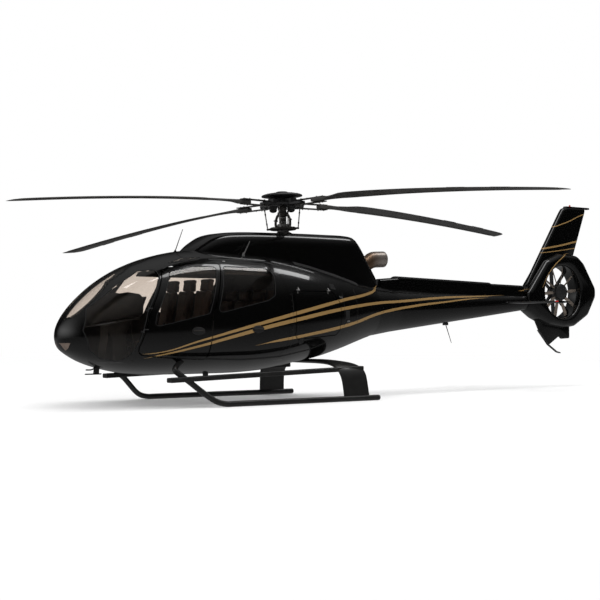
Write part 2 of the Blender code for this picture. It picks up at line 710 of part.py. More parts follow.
# Tail boom: a tapering tube, made in triangles so that a grown copy follows it face by face
def boom_skin(name, grow=0.0, caps=True):
    rings = [[(x, (half + grow) * math.cos(a), centre + (high + grow) * math.sin(a))
              for a in (2 * math.pi * k / BOOM_STEPS for k in range(BOOM_STEPS))]
             for x, half, high, centre in BOOM]
    mesh = lofted(name, rings, caps)
    builder = bmesh.new()
    builder.from_mesh(mesh)
    bmesh.ops.triangulate(builder, faces=builder.faces[:], quad_method="FIXED")
    builder.to_mesh(mesh)
    builder.free()
    return mesh


boom_clear = guide("boom_clear", boom_skin("boom_clear", TRIM))
tail_boom = place("tail_boom", boom_skin("tail_boom", caps=False), "black_gloss")
thicken(tail_boom, BOOM_WALL)
keep(tail_boom, zone("boom_zone", BOOM_END, BODY_END - GAP))


# Drive shaft cover along the top of the boom, open below
def cover_ring(row, wall=0.0):
    x, half, top = row
    base = between(BOOM, x)[3] + 0.05 - wall
    ring = []
    for k in range(COVER_STEPS + 1):
        angle = math.pi * k / COVER_STEPS
        z = base if k in (0, COVER_STEPS) else top - wall - COVER_ARCH + COVER_ARCH * math.sin(angle) ** 0.5
        ring.append((x, (half - wall) * math.cos(angle), z))
    return ring


driveshaft_cover = place("driveshaft_cover",
                         lofted("driveshaft_cover", [cover_ring(row) for row in SHAFT_COVER]), "black_gloss")
tunnel_rows = [(SHAFT_COVER[0][0] - COVER_WALL, *SHAFT_COVER[0][1:]), *SHAFT_COVER[1:-1],
               (SHAFT_COVER[-1][0] + COVER_WALL, *SHAFT_COVER[-1][1:])]
shaft_tunnel = lofted("shaft_tunnel", [cover_ring(row, COVER_WALL) for row in tunnel_rows])
cut(driveshaft_cover, guide("shaft_tunnel", shaft_tunnel))
cut(driveshaft_cover, boom_clear)


# Cowling: three shells on the roof, from the intake brow to the exhaust
def cowl_ring(row, wall=0.0, drop=0.0):
    """A cowling section: an arch on a straight base, drawn in by wall and lowered at its base by drop."""
    x, half, top, base, power = row
    ring = []
    for k in range(COWL_STEPS + 1):
        angle = math.pi * k / COWL_STEPS
        rise = squarish(angle - math.pi / 2, top - wall - base + drop, power)
        ring.append((x, squarish(angle, half - wall, power), base - drop + rise))
    return ring


cowl_outside = [cowl_ring(row) for row in COWL]
hollow_rows = [between(COWL, COWL[0][0] - COWL_END_TRIM), *COWL[1:-1],
               between(COWL, COWL[-1][0] + COWL_END_TRIM)]
cowl_hollow = guide("cowl_hollow", lofted("cowl_hollow", [cowl_ring(row, COWL_WALL, 0.1) for row in hollow_rows]))
mast_hole = guide("mast_hole", rod("mast_hole", (0, 0, 2.52 - HUB_Z), (0, 0, 2.75 - HUB_Z), 0.151, 24), rotor_axis)
cowl_ends = (COWL[0][0] + 0.01, *COWL_SPLITS, COWL[-1][0] - 0.01)
for name, front, back in zip(("cowl_front", "cowl_middle", "cowl_rear"), cowl_ends, cowl_ends[1:]):
    cowl = place(name, lofted(name, cowl_outside), "black_gloss")
    keep(cowl, zone(f"{name}_zone", back + GAP, front - GAP))
    cut(cowl, cowl_hollow)
    cut(cowl, hull_clear)
    if name == "cowl_middle":
        cut(cowl, mast_hole)
    if name == "cowl_rear":
        cut(cowl, boom_clear)
        cut(cowl, exhaust_hole)


# Stabilizer: one wing through the boom
def wing(name, grow=0.0):
    """The wing from tip to tip, grown by grow all round, its section round in front and thin behind."""
    front, back = STABILIZER_X
    section = ((0.0, 0.0), (0.06, 0.32), (0.30, 0.50), (0.70, 0.30), (1.0, 0.05), (1.0, -0.05), (0.70, -0.30),
               (0.30, -0.50), (0.06, -0.32))
    rings = []
    for y, shrink in ((-STABILIZER_HALF_SPAN, STABILIZER_TIP), (0.04 - STABILIZER_HALF_SPAN, 0.0),
                      (STABILIZER_HALF_SPAN - 0.04, 0.0), (STABILIZER_HALF_SPAN, STABILIZER_TIP)):
        chord = front - back - 2 * shrink + 2 * grow
        thickness = STABILIZER_THICKNESS * (1 - 10 * shrink) + 2 * grow
        rings.append([(front - shrink + grow - chord * along, y, STABILIZER_Z + thickness * up)
                      for along, up in section])
    return lofted(name, rings)


stabilizer = place("stabilizer", wing("stabilizer"), "black_gloss")
cut(tail_boom, guide("stabilizer_clear", wing("stabilizer_clear", GLASS_GAP)))

# Fin and duct in one moulding
fin_and_duct = place("fin_and_duct", layered("fin_and_duct", HOUSING, HOUSING_LAYERS), "black_gloss")
join(fin_and_duct, guide("fin_blade", layered("fin_blade", FIN, FIN_LAYERS)))
join(fin_and_duct, guide("fin_cap", block("fin_cap", *FIN_CAP, 0.006)))
duct_bore = guide("duct_bore", rod("duct_bore", (0, 0, -0.5), (0, 0, 0.5), DUCT_RADIUS, DUCT_STEPS), duct_axis)
cut(fin_and_duct, duct_bore)
# Its hollow opens forward into the boom, and leaves a wall round the duct
housing_hollow = guide("housing_hollow", layered("housing_hollow", HOUSING, HOLLOW_LAYERS))
join(housing_hollow, guide("boom_mouth", rod("boom_mouth", *BOOM_MOUTH, BOOM_MOUTH_RADIUS)))
join(housing_hollow, guide("fin_hollow", layered("fin_hollow", FIN, FIN_HOLLOW_LAYERS)))
duct_tube = rod("duct_tube", (0, 0, -0.5), (0, 0, 0.5), DUCT_RADIUS + DUCT_WALL, DUCT_STEPS)
cut(housing_hollow, guide("duct_tube", duct_tube, duct_axis))
cut(fin_and_duct, housing_hollow)

# Lower fin with the tail bumper along its front edge
ventral_fin = place("ventral_fin", prism("ventral_fin", VENTRAL_FIN, -VENTRAL_HALF, VENTRAL_HALF), "black_satin")
join(ventral_fin, guide("tail_bumper", prism("tail_bumper", BUMPER, -BUMPER_HALF, BUMPER_HALF)))
housing_clear = layered("housing_clear", offset_outline(HOUSING, TRIM), HOUSING_LAYERS)
cut(ventral_fin, guide("housing_clear", housing_clear))


# Tail rotor, and the gearbox that carries it in the duct
def spokes(name, count, reach, height, section, pitch, phase):
    """Flat blades about z at this height, apart from each other. reach: inner and outer radius."""
    inner, outer = reach
    builder = bmesh.new()
    for i in range(count):
        matrix = (Matrix.Rotation(phase + 2 * math.pi * i / count, 4, "Z")
                  @ Matrix.Translation(((inner + outer) / 2, 0, height)) @ Matrix.Rotation(pitch, 4, "X")
                  @ Matrix.Diagonal((outer - inner, *section, 1)))
        bmesh.ops.create_cube(builder, size=1.0, matrix=matrix)
    return finished(builder, name)


tail_gearbox = turn(place("tail_gearbox", profile("tail_gearbox", TAIL_GEARBOX), "black_satin", duct_axis))
vane_tip = DUCT_RADIUS * math.cos(math.pi / DUCT_STEPS) - 0.0004
stator_mesh = spokes("stator_vanes", STATOR_VANES, (STATOR_ROOT, vane_tip), STATOR_Y, STATOR_VANE, 0.0,
                     math.pi / DUCT_STEPS)
join(tail_gearbox, guide("stator_vanes", stator_mesh, duct_axis))
tail_rotor = turn(place("tail_rotor", profile("tail_rotor", TAIL_HUB), "bronze_blade", duct_axis))
tail_blade_mesh = spokes("tail_blades", TAIL_BLADES, TAIL_BLADE, TAIL_ROTOR_Y,
                         (TAIL_BLADE_CHORD, TAIL_BLADE_THICKNESS), TAIL_BLADE_PITCH, TAIL_BLADE_PHASE)
join(tail_rotor, guide("tail_blades", tail_blade_mesh, duct_axis))

# Landing gear: skids with their front legs, and step boards
for side_name, side in SIDES:
    leg = smoothed(SKID_LEG, 2) + [Vector((SKID_END, SKID_Y, SKID_RADIUS))]
    points = [(point.x, side * point.y, point.z) for point in leg]
    skid_mesh = tube(f"skid_{side_name}", points, [SKID_RADIUS] * len(points))
    skid = place(f"skid_{side_name}", skid_mesh, "black_satin")
    cut(skid, hull_clear)
    clear_mesh = tube(f"skid_clear_{side_name}", points, [SKID_RADIUS + TRIM] * len(points))
    board_rings = [[(x, side * y, top + dz) for y, dz in ((STEP_Y[0], 0), (STEP_Y[1], 0),
                                                          (STEP_Y[1], -STEP_THICKNESS),
                                                          (STEP_Y[0], -STEP_THICKNESS))]
                   for x, top in STEP_BOARD]
    board = place(f"step_board_{side_name}", lofted(f"step_board_{side_name}", board_rings), "black_satin")
    cut(board, guide(f"skid_clear_{side_name}", clear_mesh))


# Rear strut: one wide arch from skid to skid
def strut(name, grow=0.0):
    """The strut grown by grow all round."""
    rows = [(x, -y, *rest) for x, y, *rest in reversed(REAR_STRUT[1:])] + list(REAR_STRUT)
    last = len(rows) - 1
    rings = []
    for i, (x, y, z, chord, thickness) in enumerate(rows):
        before, after = rows[max(i - 1, 0)], rows[min(i + 1, last)]
        run = Vector((0, after[1] - before[1], after[2] - before[2])).normalized()
        if i in (0, last):
            run = Vector((0, 0, 1 if i == 0 else -1))
        up = Vector((0, -run.z, run.y)) * (thickness + 2 * grow)
        rings.append([Vector((x + along * (chord + 2 * grow), y, z)) + up * high for along, high in STRUT_SHAPE])
    return lofted(name, rings)


rear_strut = place("rear_strut", strut("rear_strut"), "black_satin")
cut(rear_strut, hull_clear)
strut_clear = guide("strut_clear", strut("strut_clear", 2 * TRIM))
for side_name, side in SIDES:
    cut(bpy.data.objects[f"step_board_{side_name}"], strut_clear)

# Mast housing on the gearbox, with the bore that the mast turns in
HOUSING_PROFILE = ((0, BORE_FLOOR), (BORE_RADIUS, BORE_FLOOR), (BORE_RADIUS, HOUSING_TOP),
                   (0.086, HOUSING_TOP), (0.0935, 2.76), (0.0935, 2.665), (0.15, 2.635), (0.15, HOUSING_FOOT),
                   (0, HOUSING_FOOT))
housing_mesh = profile("mast_housing", HOUSING_PROFILE, base=HUB_Z)
join(main_gearbox, turn(guide("mast_housing", housing_mesh, rotor_axis)))

# Mast, star hub and domed cap, about the leaning axis
STAR_LOW, STAR_HIGH = HUB_Z - STAR_HALF, HUB_Z + STAR_HALF
MAST_PROFILE = ((0, STAR_LOW - GAP), (0.075, STAR_LOW - GAP), (0.075, 3.02), (MAST_RADIUS, 2.96),
                (MAST_RADIUS, BORE_FLOOR + GAP), (0, BORE_FLOOR + GAP))
HUB_PROFILE = ((0, CAP_FOOT), (0.12, CAP_FOOT), (0.12, STAR_HIGH + 0.02), (0.20, STAR_HIGH), (0.26, STAR_HIGH),
               (0.26, STAR_LOW), (0, STAR_LOW))
CAP_PROFILE = ((0, 3.312), (0.09, 3.31), (0.11, 3.295), (0.30, 3.262), (0.33, 3.245), (0.32, 3.23),
               (0.13, 3.205), (0.10, CAP_FOOT + GAP), (0, CAP_FOOT + GAP))
for name, points, steps, material in (("rotor_mast", MAST_PROFILE, 24, "grey_metal"),
                                      ("rotor_hub", HUB_PROFILE, 24, "black_satin"),
                                      ("hub_cap", CAP_PROFILE, 28, "black_satin")):
    turn(place(name, profile(name, points, base=HUB_Z), material, rotor_axis), steps)
rotor_hub = bpy.data.objects["rotor_hub"]

# What each arm of the hub is made of, along x from the hub: low and high corner from the hub's centre.
# The star's own arm stands square, the sleeve plates with their horn follow the blade.
plate_top = PLATE_GAP + PLATE
STAR_ARM = ((0.10, -0.08, -STAR_HALF), (0.46, 0.08, STAR_HALF))
SLEEVE = (
    ((0.30, -0.055, PLATE_GAP), (0.95, 0.055, plate_top)),
    ((0.30, -0.055, -plate_top), (0.95, 0.055, -PLATE_GAP)),
    ((0.34, -0.045, -PLATE_GAP - 0.004), (0.44, 0.045, PLATE_GAP + 0.004)),
    ((0.22, 0.04, -plate_top - HORN_DROP), (0.38, 0.18, -PLATE_GAP - 0.001)),
)


def arm_turn(index, lag=True):
    """The turn from forward to this arm, or to its blade."""
    degrees = BLADE_AZIMUTH + 90 * index + (BLADE_LAG[index] if lag else 0.0)
    return Matrix.Rotation(math.radians(degrees), 4, "Z")


arm_builder = bmesh.new()
for i in range(len(BLADE_LAG)):
    for low, high in (STAR_ARM, *SLEEVE):
        size = Vector(high) - Vector(low)
        middle = (Vector(high) + Vector(low)) / 2
        aim = arm_turn(i, lag=(low, high) != STAR_ARM)
        bmesh.ops.create_cube(arm_builder, size=1.0,
                              matrix=aim @ Matrix.Translation(middle) @ Matrix.Diagonal((*size, 1)))
join_many(rotor_hub, guide("hub_arms", finished(arm_builder, "hub_arms"), rotor_axis))

# Turning swashplate with its four pitch links
swash_inner, swash_outer = SWASH_RADII
SWASH_PROFILE = ((swash_inner, SWASH_HIGH), (swash_outer, SWASH_HIGH), (swash_outer, SWASH_LOW),
                 (swash_inner, SWASH_LOW))
swash_mesh = profile("swashplate", SWASH_PROFILE, closed=True, base=HUB_Z)
swashplate = turn(place("swashplate", swash_mesh, "grey_metal", rotor_axis))
link_foot = Vector((0, 0, (SWASH_LOW + SWASH_HIGH) / 2 - HUB_Z))
link_top = -plate_top - 2 * HORN_DROP - GAP
link_builder = bmesh.new()
for i in range(len(BLADE_LAG)):
    head = arm_turn(i) @ Vector((*LINK_HEAD, link_top))
    out = Vector((head.x, head.y, 0)).normalized()
    foot = out * LINK_FOOT_RADIUS + link_foot
    for start, end, radius in ((out * 0.15 + link_foot, out * (LINK_FOOT_RADIUS + EYE_RADIUS) + link_foot, EYE_RADIUS),
                               (foot, head, LINK_RADIUS)):
        bar = rod("bar", start, end, radius, 10)
        link_builder.from_mesh(bar)
        bpy.data.meshes.remove(bar)
join_many(swashplate, guide("pitch_links", finished(link_builder, "pitch_links"), rotor_axis))


# Main rotor blades: each root is held between the two plates of its arm
def blade_ring(hang, radius, chord, thickness, pitch, shift):
    """A blade section, its nose on the clockwise side, which leads."""
    angle = math.radians(pitch)
    reach = max(radius - DROOP_START, 0.0)
    droop = DROOP * reach**DROOP_POWER + hang * reach
    ring = []
    for along, up in BLADE_SHAPE:
        y, z = shift - along * chord, up * thickness
        ring.append((radius, y * math.cos(angle) + z * math.sin(angle),
                     z * math.cos(angle) - y * math.sin(angle) - droop))
    return ring


for i in range(len(BLADE_LAG)):
    blade_mesh = lofted(f"main_blade_{i + 1}", [blade_ring(BLADE_HANG[i], *row) for row in BLADE_SECTIONS])
    blade_mesh.transform(arm_turn(i))
    place(f"main_blade_{i + 1}", blade_mesh, "blade_grey", rotor_axis)


# Cabin: seats and the instrument console
def seat(name, x, y, width, back_top):
    """A cushion, a leaning back and a headrest in one upholstered body."""
    side = ((x + 0.52, SEAT_Z - 0.13), (x + 0.54, SEAT_Z - 0.03), (x + 0.50, SEAT_Z), (x + 0.12, SEAT_Z - 0.02),
            (x - 0.02, back_top - 0.22), (x - 0.05, back_top - 0.18), (x - 0.03, back_top - 0.15),
            (x - 0.05, back_top - 0.02), (x - 0.08, back_top), (x - 0.13, back_top - 0.01),
            (x - 0.14, back_top - 0.16), (x, SEAT_Z - 0.13))
    half = width / 2
    edge, inset = SEAT_EDGE
    return layered(name, side, ((-half, -inset), (-half + edge, 0.0), (half - edge, 0.0), (half, -inset)), y)


for i, y in enumerate(FRONT_SEATS_Y):
    name = f"front_seat_{i + 1}"
    front_seat = place(name, seat(name, FRONT_SEAT_X, y, FRONT_SEAT_WIDTH, FRONT_SEAT_TOP), "brown_leather")
    join(front_seat, guide(f"{name}_base", block(f"{name}_base", (FRONT_SEAT_X + 0.08, y - 0.15, FLOOR),
                                                 (FRONT_SEAT_X + 0.46, y + 0.15, SEAT_Z - 0.08))))
rear_seats = place("rear_seats", block("rear_seats", (REAR_SEAT_X + 0.06, -0.60, FLOOR),
                                       (REAR_SEAT_X + 0.42, 0.60, SEAT_Z - 0.10)), "brown_leather")
for i, y in enumerate(REAR_SEATS_Y):
    name = f"rear_seat_{i + 1}"
    join(rear_seats, guide(name, seat(name, REAR_SEAT_X, y, REAR_SEAT_WIDTH, REAR_SEAT_TOP)))
console_mesh = layered("instrument_panel", CONSOLE, CONSOLE_LAYERS, z=FLOOR)
instrument_panel = place("instrument_panel", console_mesh, "dark_trim")
keep(instrument_panel, zone("above_floor", 2, 4, FLOOR, 2))


# Door hinges: at each, a knuckle on the frame and one on the door, end to end on the axis
def arm_to(name, start, end, root):
    """A flat bar as long as the knuckle, from the axis to root."""
    along = (end - start).normalized()
    reach = root - (start + end) / 2
    reach -= along * reach.dot(along)
    across = along.cross(reach).normalized() * KNUCKLE * 0.6
    inset = along * KNUCKLE_LENGTH * 0.02
    return lofted(name, [[point + across, point - across, point - across + reach, point + across + reach]
                         for point in (start + inset, end - inset)])


def add_hinge(label, side, frame, door, centre, along, frame_root, door_root):
    """Knuckles either side of centre, each with a flat arm to a point inside what it is fixed to."""
    along = Vector(along).normalized()
    for piece, kind, root, sign in ((frame, "frame", frame_root, -1), (door, "door", door_root, 1)):
        start = Vector(centre) + along * sign * GAP / 2
        end = start + along * sign * KNUCKLE_LENGTH
        for what, shape in (("knuckle", rod("knuckle", start, end, KNUCKLE, 12)),
                            ("arm", arm_to("arm", start, end, Vector(root)))):
            shape.transform(Matrix.Diagonal((1, side, 1, 1)))
            if side < 0:
                shape.flip_normals()
            join(piece, guide(f"{label}_{what}_{kind}", shape))


front_along = Vector(FRONT_HINGE_HEAD) - Vector(FRONT_HINGE_FOOT)
baggage_pins = [baggage_pin(x) for x in BAGGAGE_HINGE_X]
for side_name, side in SIDES:
    front_door = bpy.data.objects[f"front_door_{side_name}"]
    for label, point, arms in zip(("foot", "head"), (FRONT_HINGE_FOOT, FRONT_HINGE_HEAD), FRONT_ARMS):
        x, y, z = point
        front, back = x - arms[0], x - arms[1]
        add_hinge(f"front_hinge_{label}_{side_name}", side, cabin_frame, front_door, point, front_along,
                  (front, skin_y(front, z) - ARM_IN_FRAME, z), (back, skin_y(back, z) - ARM_IN_DOOR, z))
    baggage_door = bpy.data.objects[f"baggage_door_{side_name}"]
    for label, pin in zip(("front", "rear"), baggage_pins):
        above, below = BAGGAGE_HINGE_Z + BAGGAGE_ARM_ABOVE, BAGGAGE_HINGE_Z - BAGGAGE_ARM_BELOW
        add_hinge(f"baggage_hinge_{label}_{side_name}", side, rear_fuselage, baggage_door, pin,
                  baggage_pins[0] - baggage_pins[1], (pin.x, skin_y(pin.x, above) - ARM_IN_FRAME, above),
                  (pin.x, skin_y(pin.x, below) - ARM_IN_DOOR, below))
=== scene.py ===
import math

import bmesh
import bpy
import numpy as np
from mathutils import Matrix, Vector


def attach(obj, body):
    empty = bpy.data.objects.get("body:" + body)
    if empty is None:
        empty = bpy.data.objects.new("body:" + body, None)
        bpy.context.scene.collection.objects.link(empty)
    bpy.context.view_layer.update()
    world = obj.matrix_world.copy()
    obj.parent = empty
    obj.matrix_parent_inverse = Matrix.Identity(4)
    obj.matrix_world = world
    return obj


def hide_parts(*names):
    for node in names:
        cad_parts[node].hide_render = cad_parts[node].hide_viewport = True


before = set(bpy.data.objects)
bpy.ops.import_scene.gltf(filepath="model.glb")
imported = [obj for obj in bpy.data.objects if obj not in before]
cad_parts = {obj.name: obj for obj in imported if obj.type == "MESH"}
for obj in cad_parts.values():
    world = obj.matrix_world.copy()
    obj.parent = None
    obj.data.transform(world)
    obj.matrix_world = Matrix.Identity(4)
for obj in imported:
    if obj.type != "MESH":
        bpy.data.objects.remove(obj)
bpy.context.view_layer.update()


# Studio floor: a wide pale disc under the skids. It is matt and fades out into the backdrop, so
# that no edge or horizon shows.
class Signal:
    """A value in a shader, which is added, multiplied and compared like a number."""

    def __init__(self, recipe, socket):
        self.recipe = recipe
        self.socket = socket

    def math(self, operation, *others):
        values = dict(enumerate((self, *others)))
        return self.recipe.node("ShaderNodeMath", {"operation": operation}, values)

    def flipped(self, operation, other):
        return self.recipe.node("ShaderNodeMath", {"operation": operation}, {0: other, 1: self})

    def __add__(self, other):
        return self.math("ADD", other)

    def __sub__(self, other):
        return self.math("SUBTRACT", other)

    def __mul__(self, other):
        return self.math("MULTIPLY", other)

    def __truediv__(self, other):
        return self.math("DIVIDE", other)

    def __pow__(self, other):
        return self.math("POWER", other)

    def __rsub__(self, other):
        return self.flipped("SUBTRACT", other)

    def __rtruediv__(self, other):
        return self.flipped("DIVIDE", other)

    def __gt__(self, other):
        return self.math("GREATER_THAN", other)

    def __lt__(self, other):
        return self.math("LESS_THAN", other)

    def __abs__(self):
        return self.math("ABSOLUTE")

    __radd__ = __add__
    __rmul__ = __mul__

    def clipped(self):
        """Kept between 0 and 1."""
        return self.math("MAXIMUM", 0.0).math("MINIMUM", 1.0)


class Recipe:
    """A finish: a material, what is the same all over it, and the nodes that vary it by place."""

    def __init__(self, name, **constants):
        self.material = bpy.data.materials.new(name)
        self.material.use_nodes = True
        self.tree = self.material.node_tree
        self.shader = self.tree.nodes["Principled BSDF"]
        self.place = self.node("ShaderNodeTexCoord", output="Object")
        for words, value in constants.items():
            self.set(self.shader.inputs[words.replace("_", " ").title().replace("Ior", "IOR")], value)

    def set(self, socket, value):
        if isinstance(value, Signal):
            self.tree.links.new(value.socket, socket)
        elif socket.type == "RGBA":
            socket.default_value = (*value, 1.0)
        else:
            socket.default_value = value

    def node(self, kind, settings=None, inputs=None, output=0):
        """Any node: its settings first, then what goes into it. Gives the output that is asked for."""
        node = self.tree.nodes.new(kind)
        for name, value in (settings or {}).items():
            if name == "stops":
                ramp = node.color_ramp
                while len(ramp.elements) < len(value):
                    ramp.elements.new(0.5)
                for element, (position, level) in zip(ramp.elements, value):
                    element.position = position
                    element.color = (*level, 1.0) if isinstance(level, tuple) else (level, level, level, 1.0)
            elif name == "points":
                line = node.mapping.curves[0]
                while len(line.points) < len(value):
                    line.points.new(0.5, 0.5)
                for point, location in zip(line.points, value):
                    point.location = location
                node.mapping.update()
            else:
                setattr(node, name, value)
        for key, value in (inputs or {}).items():
            self.set(node.inputs[key], value)
        return Signal(self, node.outputs[output])

    def feed(self, socket, value):
        self.set(self.shader.inputs[socket], value)
        return self

    def parts(self, vector):
        split = self.tree.nodes.new("ShaderNodeSeparateXYZ")
        self.set(split.inputs[0], vector)
        return [Signal(self, output) for output in split.outputs]

    def noise(self, scale, detail=2.0, vector=None):
        return self.node("ShaderNodeTexNoise", {},
                         {"Vector": vector or self.place, "Scale": scale, "Detail": detail}, "Fac")

    def mix(self, factor, first, second):
        """One colour or the other, by a mask."""
        return self.node("ShaderNodeMix", {"data_type": "RGBA"}, {0: factor, 6: first, 7: second}, 2)

    def bump(self, height, strength, distance):
        return self.node("ShaderNodeBump", {}, {"Strength": strength, "Distance": distance, "Height": height})


FLOOR_RADIUS = 60.0
FLOOR_FADE = (14.0, 30.0)

floor_finish = Recipe("studio_floor", base_color=(0.9, 0.9, 0.9), roughness=0.9, specular_ior_level=0.0)
floor_reach = floor_finish.node("ShaderNodeVectorMath", {"operation": "LENGTH"}, {0: floor_finish.place}, "Value")
floor_alpha = ((FLOOR_FADE[1] - floor_reach) / (FLOOR_FADE[1] - FLOOR_FADE[0])).clipped()
floor_finish.feed("Alpha", floor_alpha)

floor_builder = bmesh.new()
bmesh.ops.create_circle(floor_builder, cap_ends=True, radius=FLOOR_RADIUS, segments=96)
floor_mesh = bpy.data.meshes.new("studio_floor")
floor_builder.to_mesh(floor_mesh)
floor_builder.free()
floor_mesh.materials.append(floor_finish.material)
studio_floor = bpy.data.objects.new("studio_floor", floor_mesh)
bpy.context.scene.collection.objects.link(studio_floor)
studio_floor.location.z = -0.001

# Studio light: a white room to the eye and to matt surfaces. Gloss sees it dark, as between black
# screens, with a pale floor, a soft ceiling and a bright wall off the starboard bow.
class Backdrop(Recipe):
    """The room's nodes."""

    def __init__(self, name):
        self.material = bpy.data.worlds.new(name)
        self.material.use_nodes = True
        self.tree = self.material.node_tree
        self.shader = self.tree.nodes["Background"]


ROOM_LIGHT = 1.1
SCREENS = 0.012
FLOOR_GLOW = 0.10
HORIZON_GLOW = 0.09
CEILING_GLOW = 0.27
WALL_GLOW = 1.3
WALL_TOWARDS = (0.93, -0.36, 0.0)

room = Backdrop("room")
room_towards = room.node("ShaderNodeTexCoord", output="Generated")
room_up = room.parts(room_towards)[2]
wall_near = room.node("ShaderNodeVectorMath", {"operation": "DOT_PRODUCT"}, {0: room_towards, 1: WALL_TOWARDS}, "Value")
gloss_sees = (((room_up * -1.3).clipped() * FLOOR_GLOW) + ((room_up + 0.02) * -12.0).clipped() * HORIZON_GLOW
              + ((room_up - 0.35) / 0.6).clipped() ** 1.6 * CEILING_GLOW
              + ((wall_near - 0.60) / 0.40).clipped() ** 2.0 * (room_up * 2.2 + 0.35).clipped() * WALL_GLOW + SCREENS)
is_matt = room.node("ShaderNodeLightPath", output="Diffuse Depth").clipped()
is_gloss = room.node("ShaderNodeLightPath", output="Glossy Depth").clipped() * (1.0 - is_matt)
room.feed("Strength", is_gloss * gloss_sees + (1.0 - is_gloss) * (is_matt * (ROOM_LIGHT - 1.0) + 1.0))
room.feed("Color", (1.0, 1.0, 1.0))
room.material.cycles.sampling_method = "NONE"
bpy.context.scene.world = room.material
bpy.context.scene.view_settings.view_transform = "Standard"
studio_floor.visible_glossy = False
studio_floor.visible_transmission = False

# Light panels. Columns: name, place, what it faces, size, watts, whether gloss shows it
LIGHT_PANELS = (
    ("panel_above", (-0.5, 1.0, 9.0), (-0.5, 0.0, 1.5), (13.0, 1.6), 260, True),
    ("panel_port", (3.0, 11.0, 6.0), (0.5, 0.0, 1.5), (8.0, 3.0), 300, False),
)
for name, place, target, size, watts, seen in LIGHT_PANELS:
    panel_data = bpy.data.lights.new(name, "AREA")
    panel_data.shape = "RECTANGLE"
    panel_data.size, panel_data.size_y = size
    panel_data.energy = watts
    panel = bpy.data.objects.new(name, panel_data)
    bpy.context.scene.collection.objects.link(panel)
    panel.location = place
    panel.rotation_mode = "QUATERNION"
    panel.rotation_quaternion = (Vector(target) - Vector(place)).to_track_quat("-Z", "Y")
    panel.visible_glossy = panel.visible_transmission = seen

# Camera: off the port bow, low, looking a little up, at the distance and lens that were fitted to
# the photograph.
MAST_X = 1.10
CAMERA_TURN = math.radians(35.08)
CAMERA_DISTANCE = 20.0
CAMERA_HEIGHT = 1.2
LOOK_TURN = math.radians(35.898)
LOOK_UP = math.radians(1.08)
LENS = 75.0
SENSOR = 36.0

camera_data = bpy.data.cameras.new("camera")
camera_data.lens = LENS
camera_data.sensor_width = SENSOR
camera = bpy.data.objects.new("camera", camera_data)
bpy.context.scene.collection.objects.link(camera)
camera.location = (MAST_X + CAMERA_DISTANCE * math.sin(CAMERA_TURN), CAMERA_DISTANCE * math.cos(CAMERA_TURN),
                   CAMERA_HEIGHT)
look = Vector((-math.sin(LOOK_TURN) * math.cos(LOOK_UP), -math.cos(LOOK_TURN) * math.cos(LOOK_UP), math.sin(LOOK_UP)))
camera.rotation_mode = "QUATERNION"
camera.rotation_quaternion = look.to_track_quat("-Z", "Y")
bpy.context.scene.camera = camera

# Fuselage skin: a moulded composite egg that runs back into the boom. Its sections are flattened
# circles, worked out here once, and every panel, pane and door below is cut from it.
NOSE, SKIN_END = 3.90, -1.65
SKIN_RINGS = 110
SKIN_POINTS = 120
WALL = 0.035
# Columns: x from the mast, half width, belly z, roof z, waist z, upper power, lower power
STATIONS = (
    (3.90, 0.000, 1.020, 1.020, 1.02, 2.00, 2.00),
    (3.88, 0.130, 0.905, 1.142, 1.02, 2.00, 2.00),
    (3.82, 0.260, 0.812, 1.264, 1.02, 2.00, 2.00),
    (3.70, 0.400, 0.730, 1.426, 1.02, 2.00, 2.00),
    (3.50, 0.555, 0.632, 1.623, 1.035, 2.00, 2.05),
    (3.22, 0.720, 0.543, 1.836, 1.06, 2.00, 2.10),
    (2.90, 0.850, 0.478, 2.013, 1.085, 2.05, 2.20),
    (2.50, 0.950, 0.445, 2.165, 1.11, 2.10, 2.30),
    (2.00, 1.005, 0.438, 2.282, 1.15, 2.15, 2.40),
    (1.50, 1.015, 0.438, 2.330, 1.17, 2.20, 2.40),
    (1.00, 1.010, 0.445, 2.330, 1.19, 2.20, 2.40),
    (0.50, 0.985, 0.480, 2.310, 1.22, 2.20, 2.30),
    (0.00, 0.930, 0.565, 2.250, 1.26, 2.15, 2.20),
    (-0.50, 0.830, 0.645, 2.160, 1.30, 2.10, 2.10),
    (-1.00, 0.690, 0.770, 2.050, 1.36, 2.05, 2.05),
    (-1.40, 0.565, 0.890, 1.950, 1.41, 2.00, 2.00),
    (-1.65, 0.490, 0.965, 1.880, 1.43, 2.00, 2.00),
    (-1.80, 0.450, 1.000, 1.850, 1.43, 2.00, 2.00),
)


def between(table, x):
    """The table's row at x, read smoothly between its stations. Its first column runs down or up."""
    rows = np.array(table, float)
    if rows[0, 0] > rows[-1, 0]:
        rows = rows[::-1]
    i = int(np.clip(np.searchsorted(rows[:, 0], x) - 1, 0, len(rows) - 2))
    width = rows[i + 1, 0] - rows[i, 0]
    t = (x - rows[i, 0]) / width
    slopes = []
    for k in (i, i + 1):
        low, high = max(k - 1, 0), min(k + 1, len(rows) - 1)
        slopes.append((rows[high] - rows[low]) / (rows[high, 0] - rows[low, 0]))
    ease = 3 * t**2 - 2 * t**3
    return (rows[i] * (1 - ease) + rows[i + 1] * ease
            + width * ((t**3 - 2 * t**2 + t) * slopes[0] + (t**3 - t**2) * slopes[1]))


# The stations by the square root of their distance from the nose, which keeps the nose round
NOSE_TABLE = [(math.sqrt(NOSE - row[0]), *row[1:]) for row in STATIONS]


def station(x):
    return between(NOSE_TABLE, math.sqrt(max(NOSE - x, 0.0)))[1:]


def squarish(angle, half, power):
    """A point's share of half on a superellipse, with the sign of the angle's cosine."""
    return np.sign(np.cos(angle)) * half * np.abs(np.cos(angle)) ** (2 / power)


